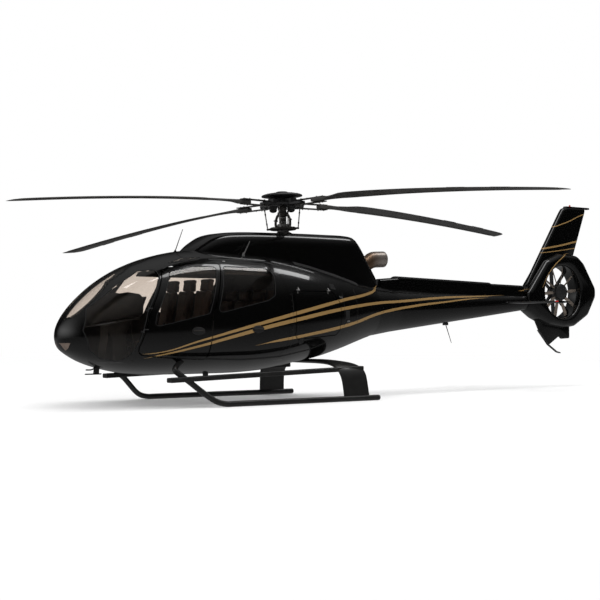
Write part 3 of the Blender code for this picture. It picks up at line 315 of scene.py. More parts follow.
def skin_y(x, z):
    """The fuselage's half width at this place."""
    half, belly, roof, waist, upper, lower = station(x)
    power, height = (upper, roof - waist) if z > waist else (lower, waist - belly)
    return half * (1 - min(abs(z - waist) / height, 1.0) ** power) ** (1 / power)


def as_object(name, mesh, *finishes):
    """A piece of this mesh, in the middle of the world, with its finishes."""
    piece = bpy.data.objects.new(name, mesh)
    bpy.context.scene.collection.objects.link(piece)
    mesh.materials.clear()
    for finish in finishes:
        mesh.materials.append(finish.material)
    return piece


def ringed(name, points, *finishes, caps=True):
    """A piece through rings of points, (ring, point, xyz), its faces outwards. caps closes its ends."""
    points = np.asarray(points)
    rows, columns = points.shape[:2]
    faces = []
    for i in range(rows - 1):
        for j in range(columns):
            k = (j + 1) % columns
            faces.append((i * columns + j, i * columns + k, (i + 1) * columns + k, (i + 1) * columns + j))
    if caps:
        faces.append(tuple(range(columns)))
        faces.append(tuple(reversed(range((rows - 1) * columns, rows * columns))))
    mesh = bpy.data.meshes.new(name)
    mesh.from_pydata(points.reshape(-1, 3).tolist(), [], faces)
    builder = bmesh.new()
    builder.from_mesh(mesh)
    bmesh.ops.remove_doubles(builder, verts=builder.verts[:], dist=1e-5)
    bmesh.ops.recalc_face_normals(builder, faces=builder.faces[:])
    middle = sum((vert.co for vert in builder.verts), Vector()) / len(builder.verts)
    outward = sum(face.normal.dot(face.calc_center_median() - middle) * face.calc_area() for face in builder.faces)
    if outward < 0:
        bmesh.ops.reverse_faces(builder, faces=builder.faces[:])
    builder.to_mesh(mesh)
    builder.free()
    return as_object(name, mesh, *finishes)


def skin_points(front=NOSE, rear=SKIN_END, rings=SKIN_RINGS):
    """Points of the fuselage skin, ring by ring from the front, with x as on the aircraft."""
    depths = np.linspace(math.sqrt(max(NOSE - front, 1e-6)), math.sqrt(NOSE - rear), rings)
    angles = 2 * np.pi * (np.arange(SKIN_POINTS) + 0.5) / SKIN_POINTS - np.pi / 2
    table = np.zeros((rings, SKIN_POINTS, 3))
    for i, depth in enumerate(depths):
        half, belly, roof, waist, upper, lower = station(NOSE - depth**2)
        up = np.sin(angles) > 0
        power = np.where(up, upper, lower)
        height = np.where(up, roof - waist, waist - belly)
        table[i, :, 0] = MAST_X + NOSE - depth**2
        table[i, :, 1] = squarish(angles, half, power)
        table[i, :, 2] = waist + squarish(angles - np.pi / 2, height, power)
    return table


def offset_outline(outline, distance):
    """The outline moved outward by distance, with mitred corners."""
    count = len(outline)
    area = sum(outline[i - 1][0] * outline[i][1] - outline[i][0] * outline[i - 1][1] for i in range(count))
    sign = 1.0 if area > 0 else -1.0
    offset = []
    for i, point in enumerate(outline):
        before = Vector(point) - Vector(outline[i - 1])
        after = Vector(outline[(i + 1) % count]) - Vector(point)
        normals = [Vector((run.y, -run.x)).normalized() * sign for run in (before, after)]
        mitre = (normals[0] + normals[1]) / max(1.0 + normals[0].dot(normals[1]), 0.35)
        offset.append(tuple(Vector(point) + mitre * distance))
    return offset


def rounded(outline, radius, steps=6):
    """The outline with each corner rounded, by no more than its sides allow."""
    soft = []
    count = len(outline)
    for i, corner in enumerate(outline):
        corner = Vector(corner)
        before = Vector(outline[i - 1]) - corner
        after = Vector(outline[(i + 1) % count]) - corner
        turn = before.angle(after)
        back = min(radius / math.tan(turn / 2), 0.45 * before.length, 0.45 * after.length)
        start = corner + before.normalized() * back
        end = corner + after.normalized() * back
        for k in range(steps + 1):
            t = k / steps
            soft.append(tuple(start * (1 - t) ** 2 + corner * 2 * t * (1 - t) + end * t**2))
    return soft


def prism_object(name, outline, inner, outer, side):
    """A cutter: a side-view outline, from the mast, run along y from inner to outer."""
    builder = bmesh.new()
    face = builder.faces.new([builder.verts.new((MAST_X + x, side * inner, z)) for x, z in outline])
    run = bmesh.ops.extrude_face_region(builder, geom=[face])
    ends = [item for item in run["geom"] if isinstance(item, bmesh.types.BMVert)]
    bmesh.ops.translate(builder, vec=(0, side * (outer - inner), 0), verts=ends)
    bmesh.ops.recalc_face_normals(builder, faces=builder.faces[:])
    mesh = bpy.data.meshes.new(name)
    builder.to_mesh(mesh)
    builder.free()
    return as_object(name, mesh)


def block_object(name, low, high):
    """A cutter: a box between two corners, from the mast."""
    builder = bmesh.new()
    bmesh.ops.create_cube(builder, size=1.0)
    bmesh.ops.scale(builder, vec=Vector(high) - Vector(low), verts=builder.verts[:])
    bmesh.ops.translate(builder, vec=(Vector(high) + Vector(low)) / 2 + Vector((MAST_X, 0, 0)), verts=builder.verts[:])
    mesh = bpy.data.meshes.new(name)
    builder.to_mesh(mesh)
    builder.free()
    return as_object(name, mesh)


def boolean(piece, operation, cutter):
    step = piece.modifiers.new(cutter.name, "BOOLEAN")
    step.operation = operation
    step.solver = "EXACT"
    step.object = cutter


def baked(piece, crease=math.radians(35)):
    """Applies the piece's modifiers and shades it smooth with creases."""
    evaluated = piece.evaluated_get(bpy.context.evaluated_depsgraph_get())
    mesh = bpy.data.meshes.new_from_object(evaluated)
    mesh.name = piece.name
    piece.modifiers.clear()
    piece.data = mesh
    for polygon in mesh.polygons:
        polygon.use_smooth = True
    mesh.set_sharp_from_angle(angle=crease)
    return piece


def settled(piece, body, finish, *nodes):
    """Says what the piece moves with and which solids it stands for. The finish argument is not used."""
    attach(piece, body)
    if nodes:
        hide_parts(*nodes)


def skin_panel(name, finish, thickness, cuts, rear, front=NOSE):
    """A panel of the skin with a wall inside it, cut by (operation, cutter) in turn."""
    whole = 2.36
    rings = max(int(SKIN_RINGS * (math.sqrt(NOSE - rear) - math.sqrt(max(NOSE - front, 0))) / whole), 6)
    piece = ringed(name, skin_points(front, rear, rings), finish, caps=False)
    wall = piece.modifiers.new("wall", "SOLIDIFY")
    wall.thickness = thickness
    wall.offset = -1.0
    for operation, cutter in cuts:
        boolean(piece, operation, cutter)
    return baked(piece)


# Black paint under a clear coat, with three fine gold lines along each side, and more on the fin
PAINT_BLACK = (0.0006, 0.0006, 0.0006)
PAINT_GOLD = (0.215, 0.131, 0.048)
# A line's run from the front: (x from the mast, z, half width)
GOLD_LINES = (
    ((3.02, 0.770, 0.0), (2.82, 0.772, 0.006), (2.123, 0.950, 0.016), (1.499, 1.106, 0.024), (0.804, 1.268, 0.030),
     (0.134, 1.416, 0.031), (-0.568, 1.556, 0.028), (-1.505, 1.719, 0.022), (-1.70, 1.790, 0.018),
     (-1.95, 1.930, 0.0)),
    ((3.00, 0.690, 0.0), (2.679, 0.750, 0.012), (2.111, 0.877, 0.020), (1.595, 1.004, 0.027), (1.036, 1.134, 0.032),
     (0.347, 1.269, 0.033), (-0.543, 1.421, 0.030), (-1.592, 1.538, 0.025), (-2.165, 1.572, 0.023),
     (-3.285, 1.652, 0.020), (-4.226, 1.688, 0.014), (-5.10, 1.724, 0.0)),
    ((1.30, 0.860, 0.0), (0.785, 0.938, 0.018), (0.280, 1.010, 0.026), (-0.888, 1.201, 0.029), (-1.590, 1.365, 0.026),
     (-2.561, 1.505, 0.022), (-3.268, 1.574, 0.016), (-3.923, 1.635, 0.010), (-4.65, 1.670, 0.0)),
    ((-6.12, 3.000, 0.0), (-6.203, 3.018, 0.008), (-6.568, 3.126, 0.011), (-7.30, 3.345, 0.011)),
    ((-5.85, 2.590, 0.0), (-5.922, 2.602, 0.012), (-6.344, 2.670, 0.019), (-7.10, 2.800, 0.020)),
    ((-5.88, 2.524, 0.0), (-5.951, 2.532, 0.008), (-6.343, 2.579, 0.009), (-6.98, 2.655, 0.010)),
    ((-5.75, 1.86, 0.0), (-5.865, 2.022, 0.014), (-6.05, 2.235, 0.014), (-6.233, 2.382, 0.013),
     (-6.453, 2.500, 0.010), (-6.732, 2.558, 0.0)),
    ((-5.22, 1.795, 0.0), (-5.40, 1.818, 0.010), (-5.56, 1.842, 0.0)),
)
LINE_RUN = (-7.40, 3.10)
LINE_RISE = (0.60, 3.40)
WIDEST_LINE = 0.04


def gold_lines(paint):
    """1 on the gold lines, 0 elsewhere."""
    x, z = paint.parts(paint.place)[::2]
    along = (x - (MAST_X + LINE_RUN[0])) / (LINE_RUN[1] - LINE_RUN[0])
    lines = None
    for run in GOLD_LINES:
        ends = (run[-1][0] - 0.02, run[0][0] + 0.02)
        places = [(ends[0], run[-1][1], 0.0), *reversed(run), (ends[1], run[0][1], 0.0)]
        centre_points, width_points = [], []
        for px, pz, half in places:
            share = (px - LINE_RUN[0]) / (LINE_RUN[1] - LINE_RUN[0])
            centre_points.append((share, (pz - LINE_RISE[0]) / (LINE_RISE[1] - LINE_RISE[0])))
            width_points.append((share, half / WIDEST_LINE))
        centre = paint.node("ShaderNodeFloatCurve", {"points": centre_points}, {"Value": along})
        width = paint.node("ShaderNodeFloatCurve", {"points": width_points}, {"Value": along})
        off_centre = abs(z - (centre * (LINE_RISE[1] - LINE_RISE[0]) + LINE_RISE[0]))
        line = (off_centre < width * (WIDEST_LINE * 0.88)) * (width > 0.03)
        lines = line if lines is None else lines.math("MAXIMUM", line)
    return lines


# A trace of orange peel, fine dust and polishing haze. On the gold lines the fine specks are paler gold, partly dust
# and partly a painted highlight.
gloss_black = Recipe("gloss_black_paint", specular_ior_level=0.22, coat_roughness=0.02, coat_weight=1.0)
haze = gloss_black.noise(3.0, 3.0)
peel = gloss_black.noise(160.0, 1.0)
dust_and_highlight_specks = gloss_black.noise(900.0, 2.0)
dusty_black = gloss_black.mix(((dust_and_highlight_specks - 0.62) * 4.0).clipped() * 0.25, PAINT_BLACK, (0.004, 0.0038, 0.0036))
# Paler gold in fine specks: partly dust, partly a painted highlight.
gold_dust_and_highlight = gloss_black.mix((dust_and_highlight_specks - 0.3).clipped() * 0.6, PAINT_GOLD, (0.28, 0.185, 0.08))
line_mask = gold_lines(gloss_black)
gloss_black.feed("Base Color", gloss_black.mix(line_mask, dusty_black, gold_dust_and_highlight))
gloss_black.feed("Metallic", line_mask * 0.15)
gloss_black.feed("Roughness", haze * 0.10 + 0.14)
gloss_black.feed("Normal", gloss_black.bump(peel, 0.02, 0.001))

# Belly tub: the stiff floor box that the cabin stands on, painted with the rest of the fuselage.
TUB_TOP = 0.64
CABIN_END = 0.50
belly_tub = ringed("belly_tub_skin", skin_points(), gloss_black)
boolean(belly_tub, "INTERSECT", block_object("belly_cut", (CABIN_END, -3, -1), (5, 3, TUB_TOP)))
settled(baked(belly_tub), "airframe", "black_gloss", "belly_tub")

# Cabin frame: pillars, roof rails and nose in one moulding, about 35 mm thick, with the openings
# for the panes and doors cut through it.
SIDES = (("left", 1, "port"), ("right", -1, "starboard"))
CENTRE_POST = 0.028
WINDSHIELD = ((3.95, 1.172), (3.74, 1.298), (3.57, 1.455), (3.20, 1.80), (2.83, 2.03), (2.40, 2.19), (2.28, 2.40),
              (3.95, 2.40))
SIDE_BUBBLE = ((3.60, 1.41), (3.69, 1.10), (3.60, 0.83), (3.42, 0.70), (3.20, 0.665), (3.10, 0.72), (3.04, 0.83),
               (2.89, 1.363), (2.60, 1.87), (2.60, 1.98), (2.83, 1.955), (3.20, 1.73))
ROOF_WINDOW = ((2.44, 2.065), (2.12, 2.165), (1.77, 2.195), (2.04, 2.125))
FRONT_DOOR = ((2.52, 1.97), (2.85, 1.363), (3.00, 0.86), (2.99, 0.79), (2.93, 0.75), (2.60, 0.712), (1.945, 0.675),
              (1.92, 1.32), (1.60, 2.095), (2.04, 2.085), (2.40, 2.02))
FRONT_WINDOW = ((2.43, 1.955), (2.77, 1.32), (2.80, 1.18), (2.74, 1.165), (1.97, 1.345), (1.68, 2.045),
                (2.06, 2.035))
SLIDING_DOOR = ((1.591, 2.095), (1.911, 1.32), (1.936, 0.675), (0.80, 0.665), (0.62, 0.72), (0.55, 0.85),
                (0.55, 1.75), (0.60, 1.98), (0.74, 2.095))
SLIDING_WINDOW = ((1.57, 2.045), (1.84, 1.345), (0.93, 1.545), (0.79, 1.62), (0.72, 1.90), (0.75, 1.99),
                  (0.85, 2.045))
BAGGAGE_DOOR = ((0.42, 1.70), (0.42, 1.02), (0.36, 0.96), (-0.50, 1.02), (-0.57, 1.10), (-0.57, 1.52),
                (-0.42, 1.70))
# Columns: outline, corner radius, inner y, gap round the edge
OPENINGS = {
    "windshield": (WINDSHIELD, 0.03, CENTRE_POST, 0.0006),
    "side_bubble": (SIDE_BUBBLE, 0.05, 0.10, 0.0006),
    "roof_window": (ROOF_WINDOW, 0.03, 0.10, 0.0006),
    "front_door": (FRONT_DOOR, 0.05, 0.30, 0.014),
    "front_window": (FRONT_WINDOW, 0.07, 0.10, 0.0006),
    "sliding_door": (SLIDING_DOOR, 0.05, 0.30, 0.004),
    "sliding_window": (SLIDING_WINDOW, 0.07, 0.10, 0.0006),
    "baggage_door": (BAGGAGE_DOOR, 0.05, 0.30, 0.013),
}


def opening(name, side, plug=False):
    """The cutter for an opening's hole, or for what fills it."""
    outline, radius, inner, gap = OPENINGS[name]
    margin = -gap / 2 if plug else gap / 2
    label = f"{name}_{'plug' if plug else 'hole'}_{side}"
    return prism_object(label, offset_outline(rounded(outline, radius), margin), inner - margin, 1.4, side)


def reach_of(name):
    """An opening's front and rear x, with a margin round it."""
    run = [x for x, z in OPENINGS[name][0]]
    return min(max(run) + 0.1, NOSE), min(run) - 0.1


frame_zone = block_object("frame_zone", (CABIN_END, -3, TUB_TOP), (5, 3, 4))
frame_cuts = [("INTERSECT", frame_zone)]
for side_name, side, side_word in SIDES:
    for name in ("windshield", "side_bubble", "roof_window", "front_door", "sliding_door"):
        frame_cuts.append(("DIFFERENCE", opening(name, side)))
cabin_frame = skin_panel("cabin_frame_shell", gloss_black, WALL, frame_cuts, CABIN_END - 0.1)
settled(cabin_frame, "airframe", "black_gloss", "cabin_frame")

# Fixed panes: bronze-tinted acrylic, blown to the fuselage's curve and bonded in, two windshields
# beside a centre post, a big bubble each side, and a small pane in the roof.
GLASS = 0.008
bronze_glass = Recipe("bronze_glass", transmission_weight=1.0, ior=1.45)
glass_edge = bronze_glass.node("ShaderNodeLayerWeight", {}, {"Blend": 0.30}, "Facing")
smears = bronze_glass.noise(5.0, 4.0)
bronze_glass.feed("Base Color", bronze_glass.mix(glass_edge, (0.86, 0.80, 0.745), (0.66, 0.58, 0.51)))
bronze_glass.feed("Roughness", smears * 0.03 + 0.01)
for side_name, side, side_word in SIDES:
    for name in ("windshield", "side_bubble", "roof_window"):
        front, back = reach_of(name)
        pane = skin_panel(f"{name}_pane_{side_name}", bronze_glass, GLASS, [("INTERSECT", opening(name, side, True))],
                          back, front)
        settled(pane, "airframe", "bronze_glass", f"{name}_{side_name}")

# Doors: moulded panels like the frame. The front pair hinge at their front edge, the pair behind
# slide back, and the baggage doors hinge at the top.
DOORS = (("front_door", "front_window", "front_door"), ("sliding_door", "sliding_window", None),
         ("baggage_door", None, "baggage_door"))
for side_name, side, side_word in SIDES:
    for name, window, body in DOORS:
        front, back = reach_of(name)
        carrier = f"{side_word}_{body}" if body else "airframe"
        cuts = [("INTERSECT", opening(name, side, True))]
        if window:
            cuts.append(("DIFFERENCE", opening(window, side)))
            pane = skin_panel(f"{window}_pane_{side_name}", bronze_glass, GLASS,
                              [("INTERSECT", opening(window, side, True))], back, front)
            settled(pane, carrier, "bronze_glass", f"{window}_{side_name}")
        door = skin_panel(f"{name}_panel_{side_name}", gloss_black, WALL, cuts, back, front)
        settled(door, carrier, "black_gloss", f"{name}_{side_name}")

# Rear fuselage: the shell behind the cabin, open on top for the engine and at its sides for the
# baggage doors.
rear_cuts = [("INTERSECT", block_object("rear_zone", (SKIN_END, -3, -1), (CABIN_END - 0.0003, 3, 4))),
             ("DIFFERENCE", block_object("engine_well", (-1.40, -0.30, 1.70), (0.40, 0.30, 3.0)))]
for side_name, side, side_word in SIDES:
    rear_cuts.append(("DIFFERENCE", opening("baggage_door", side)))
rear_fuselage = skin_panel("rear_fuselage_shell", gloss_black, WALL, rear_cuts, SKIN_END - 0.05, CABIN_END + 0.1)
settled(rear_fuselage, "airframe", "black_gloss", "rear_fuselage")

# Engine bay: the deck, engine and gearbox that the cowling hides, and the wall behind the cabin.
# Their solids stay, in cast alloy and dark moulding.
def cast_alloy(name, colour):
    """Sand-cast alloy, with oil in its low places."""
    cast = Recipe(name, metallic=0.85)
    grain = cast.noise(220.0, 3.0)
    oil = cast.noise(7.0, 4.0)
    cast.feed("Base Color", cast.mix(((oil - 0.5) * 3.0).clipped() * 0.7, colour, (0.04, 0.035, 0.03)))
    cast.feed("Roughness", grain * 0.2 + 0.34)
    cast.feed("Normal", cast.bump(grain, 0.15, 0.002))
    return cast


def moulded(name, colour, low, grain_size=380.0, strength=0.12, **constants):
    """Moulded or powder-coated trim with a fine grain."""
    trim = Recipe(name, **constants)
    grain = trim.noise(grain_size, 2.0)
    wear = trim.noise(6.0, 4.0)
    pale = tuple(min(level * 1.7 + 0.004, 1.0) for level in colour)
    trim.feed("Base Color", trim.mix(((wear - 0.45) * 2.5).clipped() * 0.5, colour, pale))
    trim.feed("Roughness", grain * 0.15 + low)
    trim.feed("Normal", trim.bump(grain, strength, 0.001))
    return trim


cast_grey = cast_alloy("cast_alloy_grey", (0.19, 0.185, 0.18))
satin_black = moulded("satin_black_coat", (0.010, 0.010, 0.0105), 0.34, coat_weight=0.15, coat_roughness=0.2)
dark_trim = moulded("dark_trim_moulding", (0.020, 0.018, 0.017), 0.5)
rubber = moulded("seal_rubber", (0.008, 0.008, 0.008), 0.62, 600.0, 0.2)
for name, chosen in (("engine", cast_grey), ("main_gearbox", cast_grey), ("engine_deck", dark_trim),
                     ("rear_bulkhead", dark_trim)):
    bpy.data.objects[name].data.materials[0] = chosen.material


# Cowling: three moulded shells on the roof, from the intake brow to the exhaust, latched down to
# the engine deck. The middle one has the hole for the mast.
# Columns: x from the mast, half width, top z, base z, power
COWL = (
    (1.80, 0.24, 2.335, 2.10, 3.0),
    (1.67, 0.32, 2.425, 2.10, 3.4),
    (1.43, 0.385, 2.550, 2.10, 4.0),
    (1.10, 0.43, 2.605, 2.10, 4.5),
    (0.35, 0.45, 2.63, 2.00, 5.0),
    (-0.70, 0.45, 2.64, 1.90, 5.0),
    (-1.17, 0.42, 2.63, 1.80, 5.0),
    (-1.29, 0.40, 2.575, 1.80, 4.5),
    (-1.50, 0.34, 2.33, 1.80, 4.0),
    (-1.78, 0.22, 2.02, 1.75, 3.0),
)
COWL_WALL = 0.02
COWL_ENDS = (1.79, 0.35, -0.70, -1.77)
COWL_SEAM = 0.003
BOOM = (
    (-1.50, 0.506, 0.475, 1.423),
    (-1.65, 0.478, 0.448, 1.425),
    (-2.20, 0.375, 0.375, 1.435),
    (-3.20, 0.290, 0.290, 1.470),
    (-4.30, 0.215, 0.215, 1.525),
    (-5.4617, 0.140, 0.140, 1.590),
    (-5.60, 0.131, 0.131, 1.598),
)


def cowl_rings(wall=0.0, drop=0.0):
    angles = np.pi * np.arange(49) / 48
    rings = []
    for x in np.linspace(COWL[0][0], COWL[-1][0], 70):
        x, half, top, base, power = between(COWL, x)
        rise = squarish(angles - np.pi / 2, top - wall - base + drop, power)
        rings.append(np.stack([np.full(49, MAST_X + x), squarish(angles, half - wall, power), base - drop + rise], 1))
    return np.array(rings)


def boom_rings(grow, front=BOOM[0][0], rear=BOOM[-1][0]):
    angles = 2 * np.pi * np.arange(64) / 64
    rings = []
    for x in np.linspace(front, rear, 60):
        i = max(k for k in range(len(BOOM) - 1) if x <= BOOM[k][0] or k == 0)
        t = (x - BOOM[i][0]) / (BOOM[i + 1][0] - BOOM[i][0])
        half, high, centre = [a + (b - a) * t for a, b in zip(BOOM[i][1:], BOOM[i + 1][1:])]
        rings.append(np.stack([np.full(64, MAST_X + x), (half + grow) * np.cos(angles),
                               centre + (high + grow) * np.sin(angles)], 1))
    return np.array(rings)


hull_clear = ringed("hull_clear", skin_points())
for corner in hull_clear.data.vertices:
    corner.co.y *= 1.001
boom_clear = ringed("boom_clear", boom_rings(0.001))
cowl_hollow = ringed("cowl_hollow", cowl_rings(COWL_WALL, 0.1)[2:-2])


def moved(x, y, z):
    return Matrix.Translation((x, y, z))


def turned(angle, axis="Z"):
    return Matrix.Rotation(angle, 4, axis)


def spaced(count, start=0.0):
    """Turns about z in even steps."""
    return [turned(start + 2 * math.pi * k / count) for k in range(count)]


HUB_Z = 3.10
MAST = moved(MAST_X, 0, 0)
ROTOR = moved(MAST_X, 0, HUB_Z) @ turned(math.radians(2.0), "X") @ turned(math.radians(1.1), "Y")
EXHAUST = ((-1.3003, 2.06, 0.095), (-1.42, 2.06, 0.100), (-1.54, 2.10, 0.110), (-1.72, 2.20, 0.122),
           (-1.84, 2.265, 0.132), (-1.90, 2.28, 0.135), (-2.09, 2.29, 0.135))


def swept_rows(path, radii, sides=24, flat=1.0):
    """Rings round a path, each square to it."""
    rows = []
    side_way = None
    for i, point in enumerate(path):
        point = Vector(point)
        run = (Vector(path[min(i + 1, len(path) - 1)]) - Vector(path[max(i - 1, 0)])).normalized()
        if side_way is None:
            side_way = run.orthogonal().normalized() if abs(run.y) > 0.9 else run.cross(Vector((0, 1, 0))).normalized()
        side_way = (side_way - run * side_way.dot(run)).normalized()
        other = run.cross(side_way)
        rows.append([tuple(point + side_way * radii[i] * math.cos(a) + other * radii[i] * flat * math.sin(a))
                     for a in (2 * math.pi * k / sides for k in range(sides))])
    return np.array(rows)


def on_curve(p0, p1, p2, p3, t):
    """The place at t between p1 and p2 on the smooth curve through all four."""
    return 0.5 * (2 * p1 + (p2 - p0) * t + (2 * p0 - 5 * p1 + 4 * p2 - p3) * t**2 + (3 * p1 - p0 - 3 * p2 + p3) * t**3)


def eased(points, steps):
    """Points on a smooth curve through the given ones."""
    path = [Vector(point) for point in points]
    path = [2 * path[0] - path[1]] + path + [2 * path[-1] - path[-2]]
    fours = zip(path, path[1:], path[2:], path[3:])
    return [on_curve(*four, k / steps) for four in fours for k in range(steps)] + [path[-2]]


exhaust_run = eased([(MAST_X + x, z, radius) for x, z, radius in EXHAUST], 5)
exhaust_path = [(x, 0.0, z) for x, z, radius in exhaust_run]
exhaust_radii = [radius for x, z, radius in exhaust_run]
exhaust_hole = ringed("exhaust_hole", swept_rows(exhaust_path, [radius + 0.004 for radius in exhaust_radii]))


class Shape:
    """A mesh put together from lofted, swept and turned bodies, each with one of the finishes."""

    def __init__(self, base=Matrix()):
        self.points, self.faces, self.slots = [], [], []
        self.base = base

    def loft(self, rows, caps=True, slot=0, matrix=Matrix()):
        matrix = self.base @ matrix
        rows = np.asarray(rows, float) @ np.array(matrix.to_3x3()).T + np.array(matrix.translation)
        count, columns = rows.shape[:2]
        start = len(self.points)
        self.points += [tuple(point) for point in rows.reshape(-1, 3)]
        faces = [(i * columns + j, i * columns + (j + 1) % columns, (i + 1) * columns + (j + 1) % columns,
                  (i + 1) * columns + j)
                 for i in range(count - 1) for j in range(columns)]
        if caps:
            faces += [tuple(range(columns)), tuple(reversed(range((count - 1) * columns, count * columns)))]
        self.faces += [tuple(start + k for k in face) for face in faces]
        self.slots += [slot] * len(faces)
        return self

    def spun(self, profile, slot, steps=32, matrix=Matrix()):
        """Turned about z: (radius, z) along its outside."""
        angles = 2 * np.pi * np.arange(steps) / steps
        rows = [[(r * math.cos(a), r * math.sin(a), z) for a in angles] for r, z in profile]
        return self.loft(rows, caps=False, slot=slot, matrix=matrix)

    def rod(self, start, end, radius, slot, sides=12, tip=None, matrix=Matrix()):
        return self.loft(swept_rows([start, end], [radius, tip or radius], sides), slot=slot, matrix=matrix)

    def pipe(self, path, radius, slot, sides=12, steps=6, flat=1.0, matrix=Matrix()):
        path = eased(path, steps)
        radii = [radius] * len(path) if np.isscalar(radius) else list(np.interp(
            np.linspace(0, 1, len(path)), np.linspace(0, 1, len(radius)), radius))
        return self.loft(swept_rows(path, radii, sides, flat), slot=slot, matrix=matrix)

    def slab(self, outline, low, high, slot, edge, matrix):
        """A flat outline, (x, y), made thick along z, its edges eased."""
        inner = offset_outline(outline, -edge)
        rows = [[(x, y, z) for x, y in shape]
                for shape, z in ((inner, low), (outline, low + edge), (outline, high - edge), (inner, high))]
        return self.loft(rows, slot=slot, matrix=matrix)

    def box(self, low, high, slot, edge=0.002, matrix=Matrix()):
        """A box between two corners, its edges eased."""
        corners = ((low[0], low[1]), (high[0], low[1]), (high[0], high[1]), (low[0], high[1]))
        return self.slab(rounded(corners, edge * 2, 2), low[2], high[2], slot, edge, matrix)

    def made(self, name, *finishes):
        mesh = bpy.data.meshes.new(name)
        mesh.from_pydata(self.points, [], self.faces)
        piece = as_object(name, mesh, *finishes)
        for polygon, slot in zip(mesh.polygons, self.slots):
            polygon.material_index = slot
            polygon.use_smooth = True
        builder = bmesh.new()
        builder.from_mesh(mesh)
        bmesh.ops.remove_doubles(builder, verts=builder.verts[:], dist=2e-6)
        bmesh.ops.dissolve_degenerate(builder, edges=builder.edges[:], dist=1e-6)
        bmesh.ops.recalc_face_normals(builder, faces=builder.faces[:])
        builder.to_mesh(mesh)
        builder.free()
        mesh.set_sharp_from_angle(angle=math.radians(38))
        return piece


mast_hole = Shape(ROTOR).spun(((0, 0), (0.152, 0), (0.152, -0.6), (0, -0.6)), 0, 48).made("mast_hole")
for name, front, back in zip(("cowl_front", "cowl_middle", "cowl_rear"), COWL_ENDS, COWL_ENDS[1:]):
    shell = ringed(f"{name}_shell", cowl_rings(), gloss_black)
    boolean(shell, "INTERSECT", block_object(f"{name}_zone", (back + COWL_SEAM / 2, -3, 0),
                                             (front - COWL_SEAM / 2, 3, 4)))
    clear = {"cowl_middle": (mast_hole,), "cowl_rear": (boom_clear, exhaust_hole)}.get(name, ())
    for cutter in (cowl_hollow, hull_clear, *clear):
        boolean(shell, "DIFFERENCE", cutter)
    settled(baked(shell), "airframe", "black_gloss", name)

# Exhaust: a bent stainless pipe, browned by heat near the engine, with two welds and a rolled lip
# over soot.
HOT = (0.20, 0.13, 0.085)
STEEL = (0.46, 0.41, 0.37)
exhaust_steel = Recipe("exhaust_steel", metallic=0.9)
exhaust_x = exhaust_steel.parts(exhaust_steel.place)[0]
brushed_way = exhaust_steel.node("ShaderNodeMapping", {}, {0: exhaust_steel.place, 3: (140.0, 6.0, 6.0)})
brushing = exhaust_steel.noise(1.0, 3.0, brushed_way)
heat = ((exhaust_x - (MAST_X - 1.86)) * 5.0 + 0.5 + (brushing - 0.5) * 0.6).clipped()
exhaust_steel.feed("Base Color", exhaust_steel.mix(heat, STEEL, HOT))
exhaust_steel.feed("Roughness", brushing * 0.28 + 0.22)
exhaust_steel.feed("Normal", exhaust_steel.bump(brushing, 0.10, 0.001))
soot = moulded("exhaust_soot", (0.012, 0.010, 0.009), 0.75)
exhaust = Shape()
outer_rows = swept_rows(exhaust_path, exhaust_radii, 40)
inner_rows = swept_rows(exhaust_path, [radius - 0.004 for radius in exhaust_radii], 40)
lip = swept_rows([exhaust_path[-1], (exhaust_path[-1][0] - 0.001, 0, exhaust_path[-1][2])], [0.1335, 0.1325], 40)
exhaust.loft(np.concatenate([outer_rows, lip]), caps=False)
exhaust.loft(np.concatenate([lip[-1:], inner_rows[::-1]]), caps=False, slot=1)
exhaust.loft([inner_rows[0], outer_rows[0]], caps=False, slot=1)
for index in (15, 19):
    exhaust.loft(swept_rows(eased(exhaust_path[index - 1:index + 2], 3)[2:5],
                            [exhaust_radii[index] + grow for grow in (0.0, 0.003, 0.0)], 40), caps=False)
settled(exhaust.made("exhaust_bend", exhaust_steel, soot), "airframe", "exhaust_steel", "exhaust_pipe")

# Tail boom: a tapering composite tube, bolted to the fuselage by a ring of screws, with the
# wing-like stabilizer through it.
WING_REACH, WING_Z, WING_THICK = 1.365, 1.58, 0.05
WING_FRONT, WING_BACK = -4.84, -5.30


def wing_rows(grow=0.0):
    rows = []
    tip = ((WING_REACH, 0.030), (WING_REACH - 0.012, 0.012), (WING_REACH - 0.04, 0.0))
    for y, shrink in [(-y, shrink) for y, shrink in tip] + list(reversed(tip)):
        chord = WING_FRONT - WING_BACK - 2 * shrink + 2 * grow
        thick = WING_THICK * (1 - 14 * shrink) + 2 * grow
        ring = []
        for k in range(28):
            a = 2 * math.pi * k / 28
            along = (1 - math.cos(a)) / 2
            up = 0.5 * math.copysign(abs(math.sin(a)) ** 0.9, math.sin(a)) * (1 - 0.75 * along**1.6)
            ring.append((MAST_X + WING_FRONT - shrink + grow - chord * along, y, WING_Z + thick * up * 1.15))
        rows.append(ring)
    return np.array(rows)


stabilizer = Shape().loft(wing_rows()).made("stabilizer_wing", gloss_black)
settled(stabilizer, "airframe", "black_gloss", "stabilizer")
boom = ringed("tail_boom_tube", boom_rings(0.0, -1.6505, -5.4617), gloss_black, caps=False)
boom_wall = boom.modifiers.new("wall", "SOLIDIFY")
boom_wall.thickness = 0.012
boom_wall.offset = -1.0
boolean(boom, "DIFFERENCE", ringed("wing_clear", wing_rows(0.001)))
settled(baked(boom), "airframe", "black_gloss", "tail_boom")

# Drive shaft cover: a low moulded ridge along the top of the boom, in hinged sections. It is open
# below, where the shaft runs, and bedded on the tube.
SHAFT_COVER = (
    (-1.96, 0.10, 1.955),
    (-2.34, 0.115, 1.985),
    (-2.36, 0.130, 2.010),
    (-4.54, 0.110, 1.945),
    (-4.56, 0.095, 1.925),
    (-5.40, 0.085, 1.905),
)


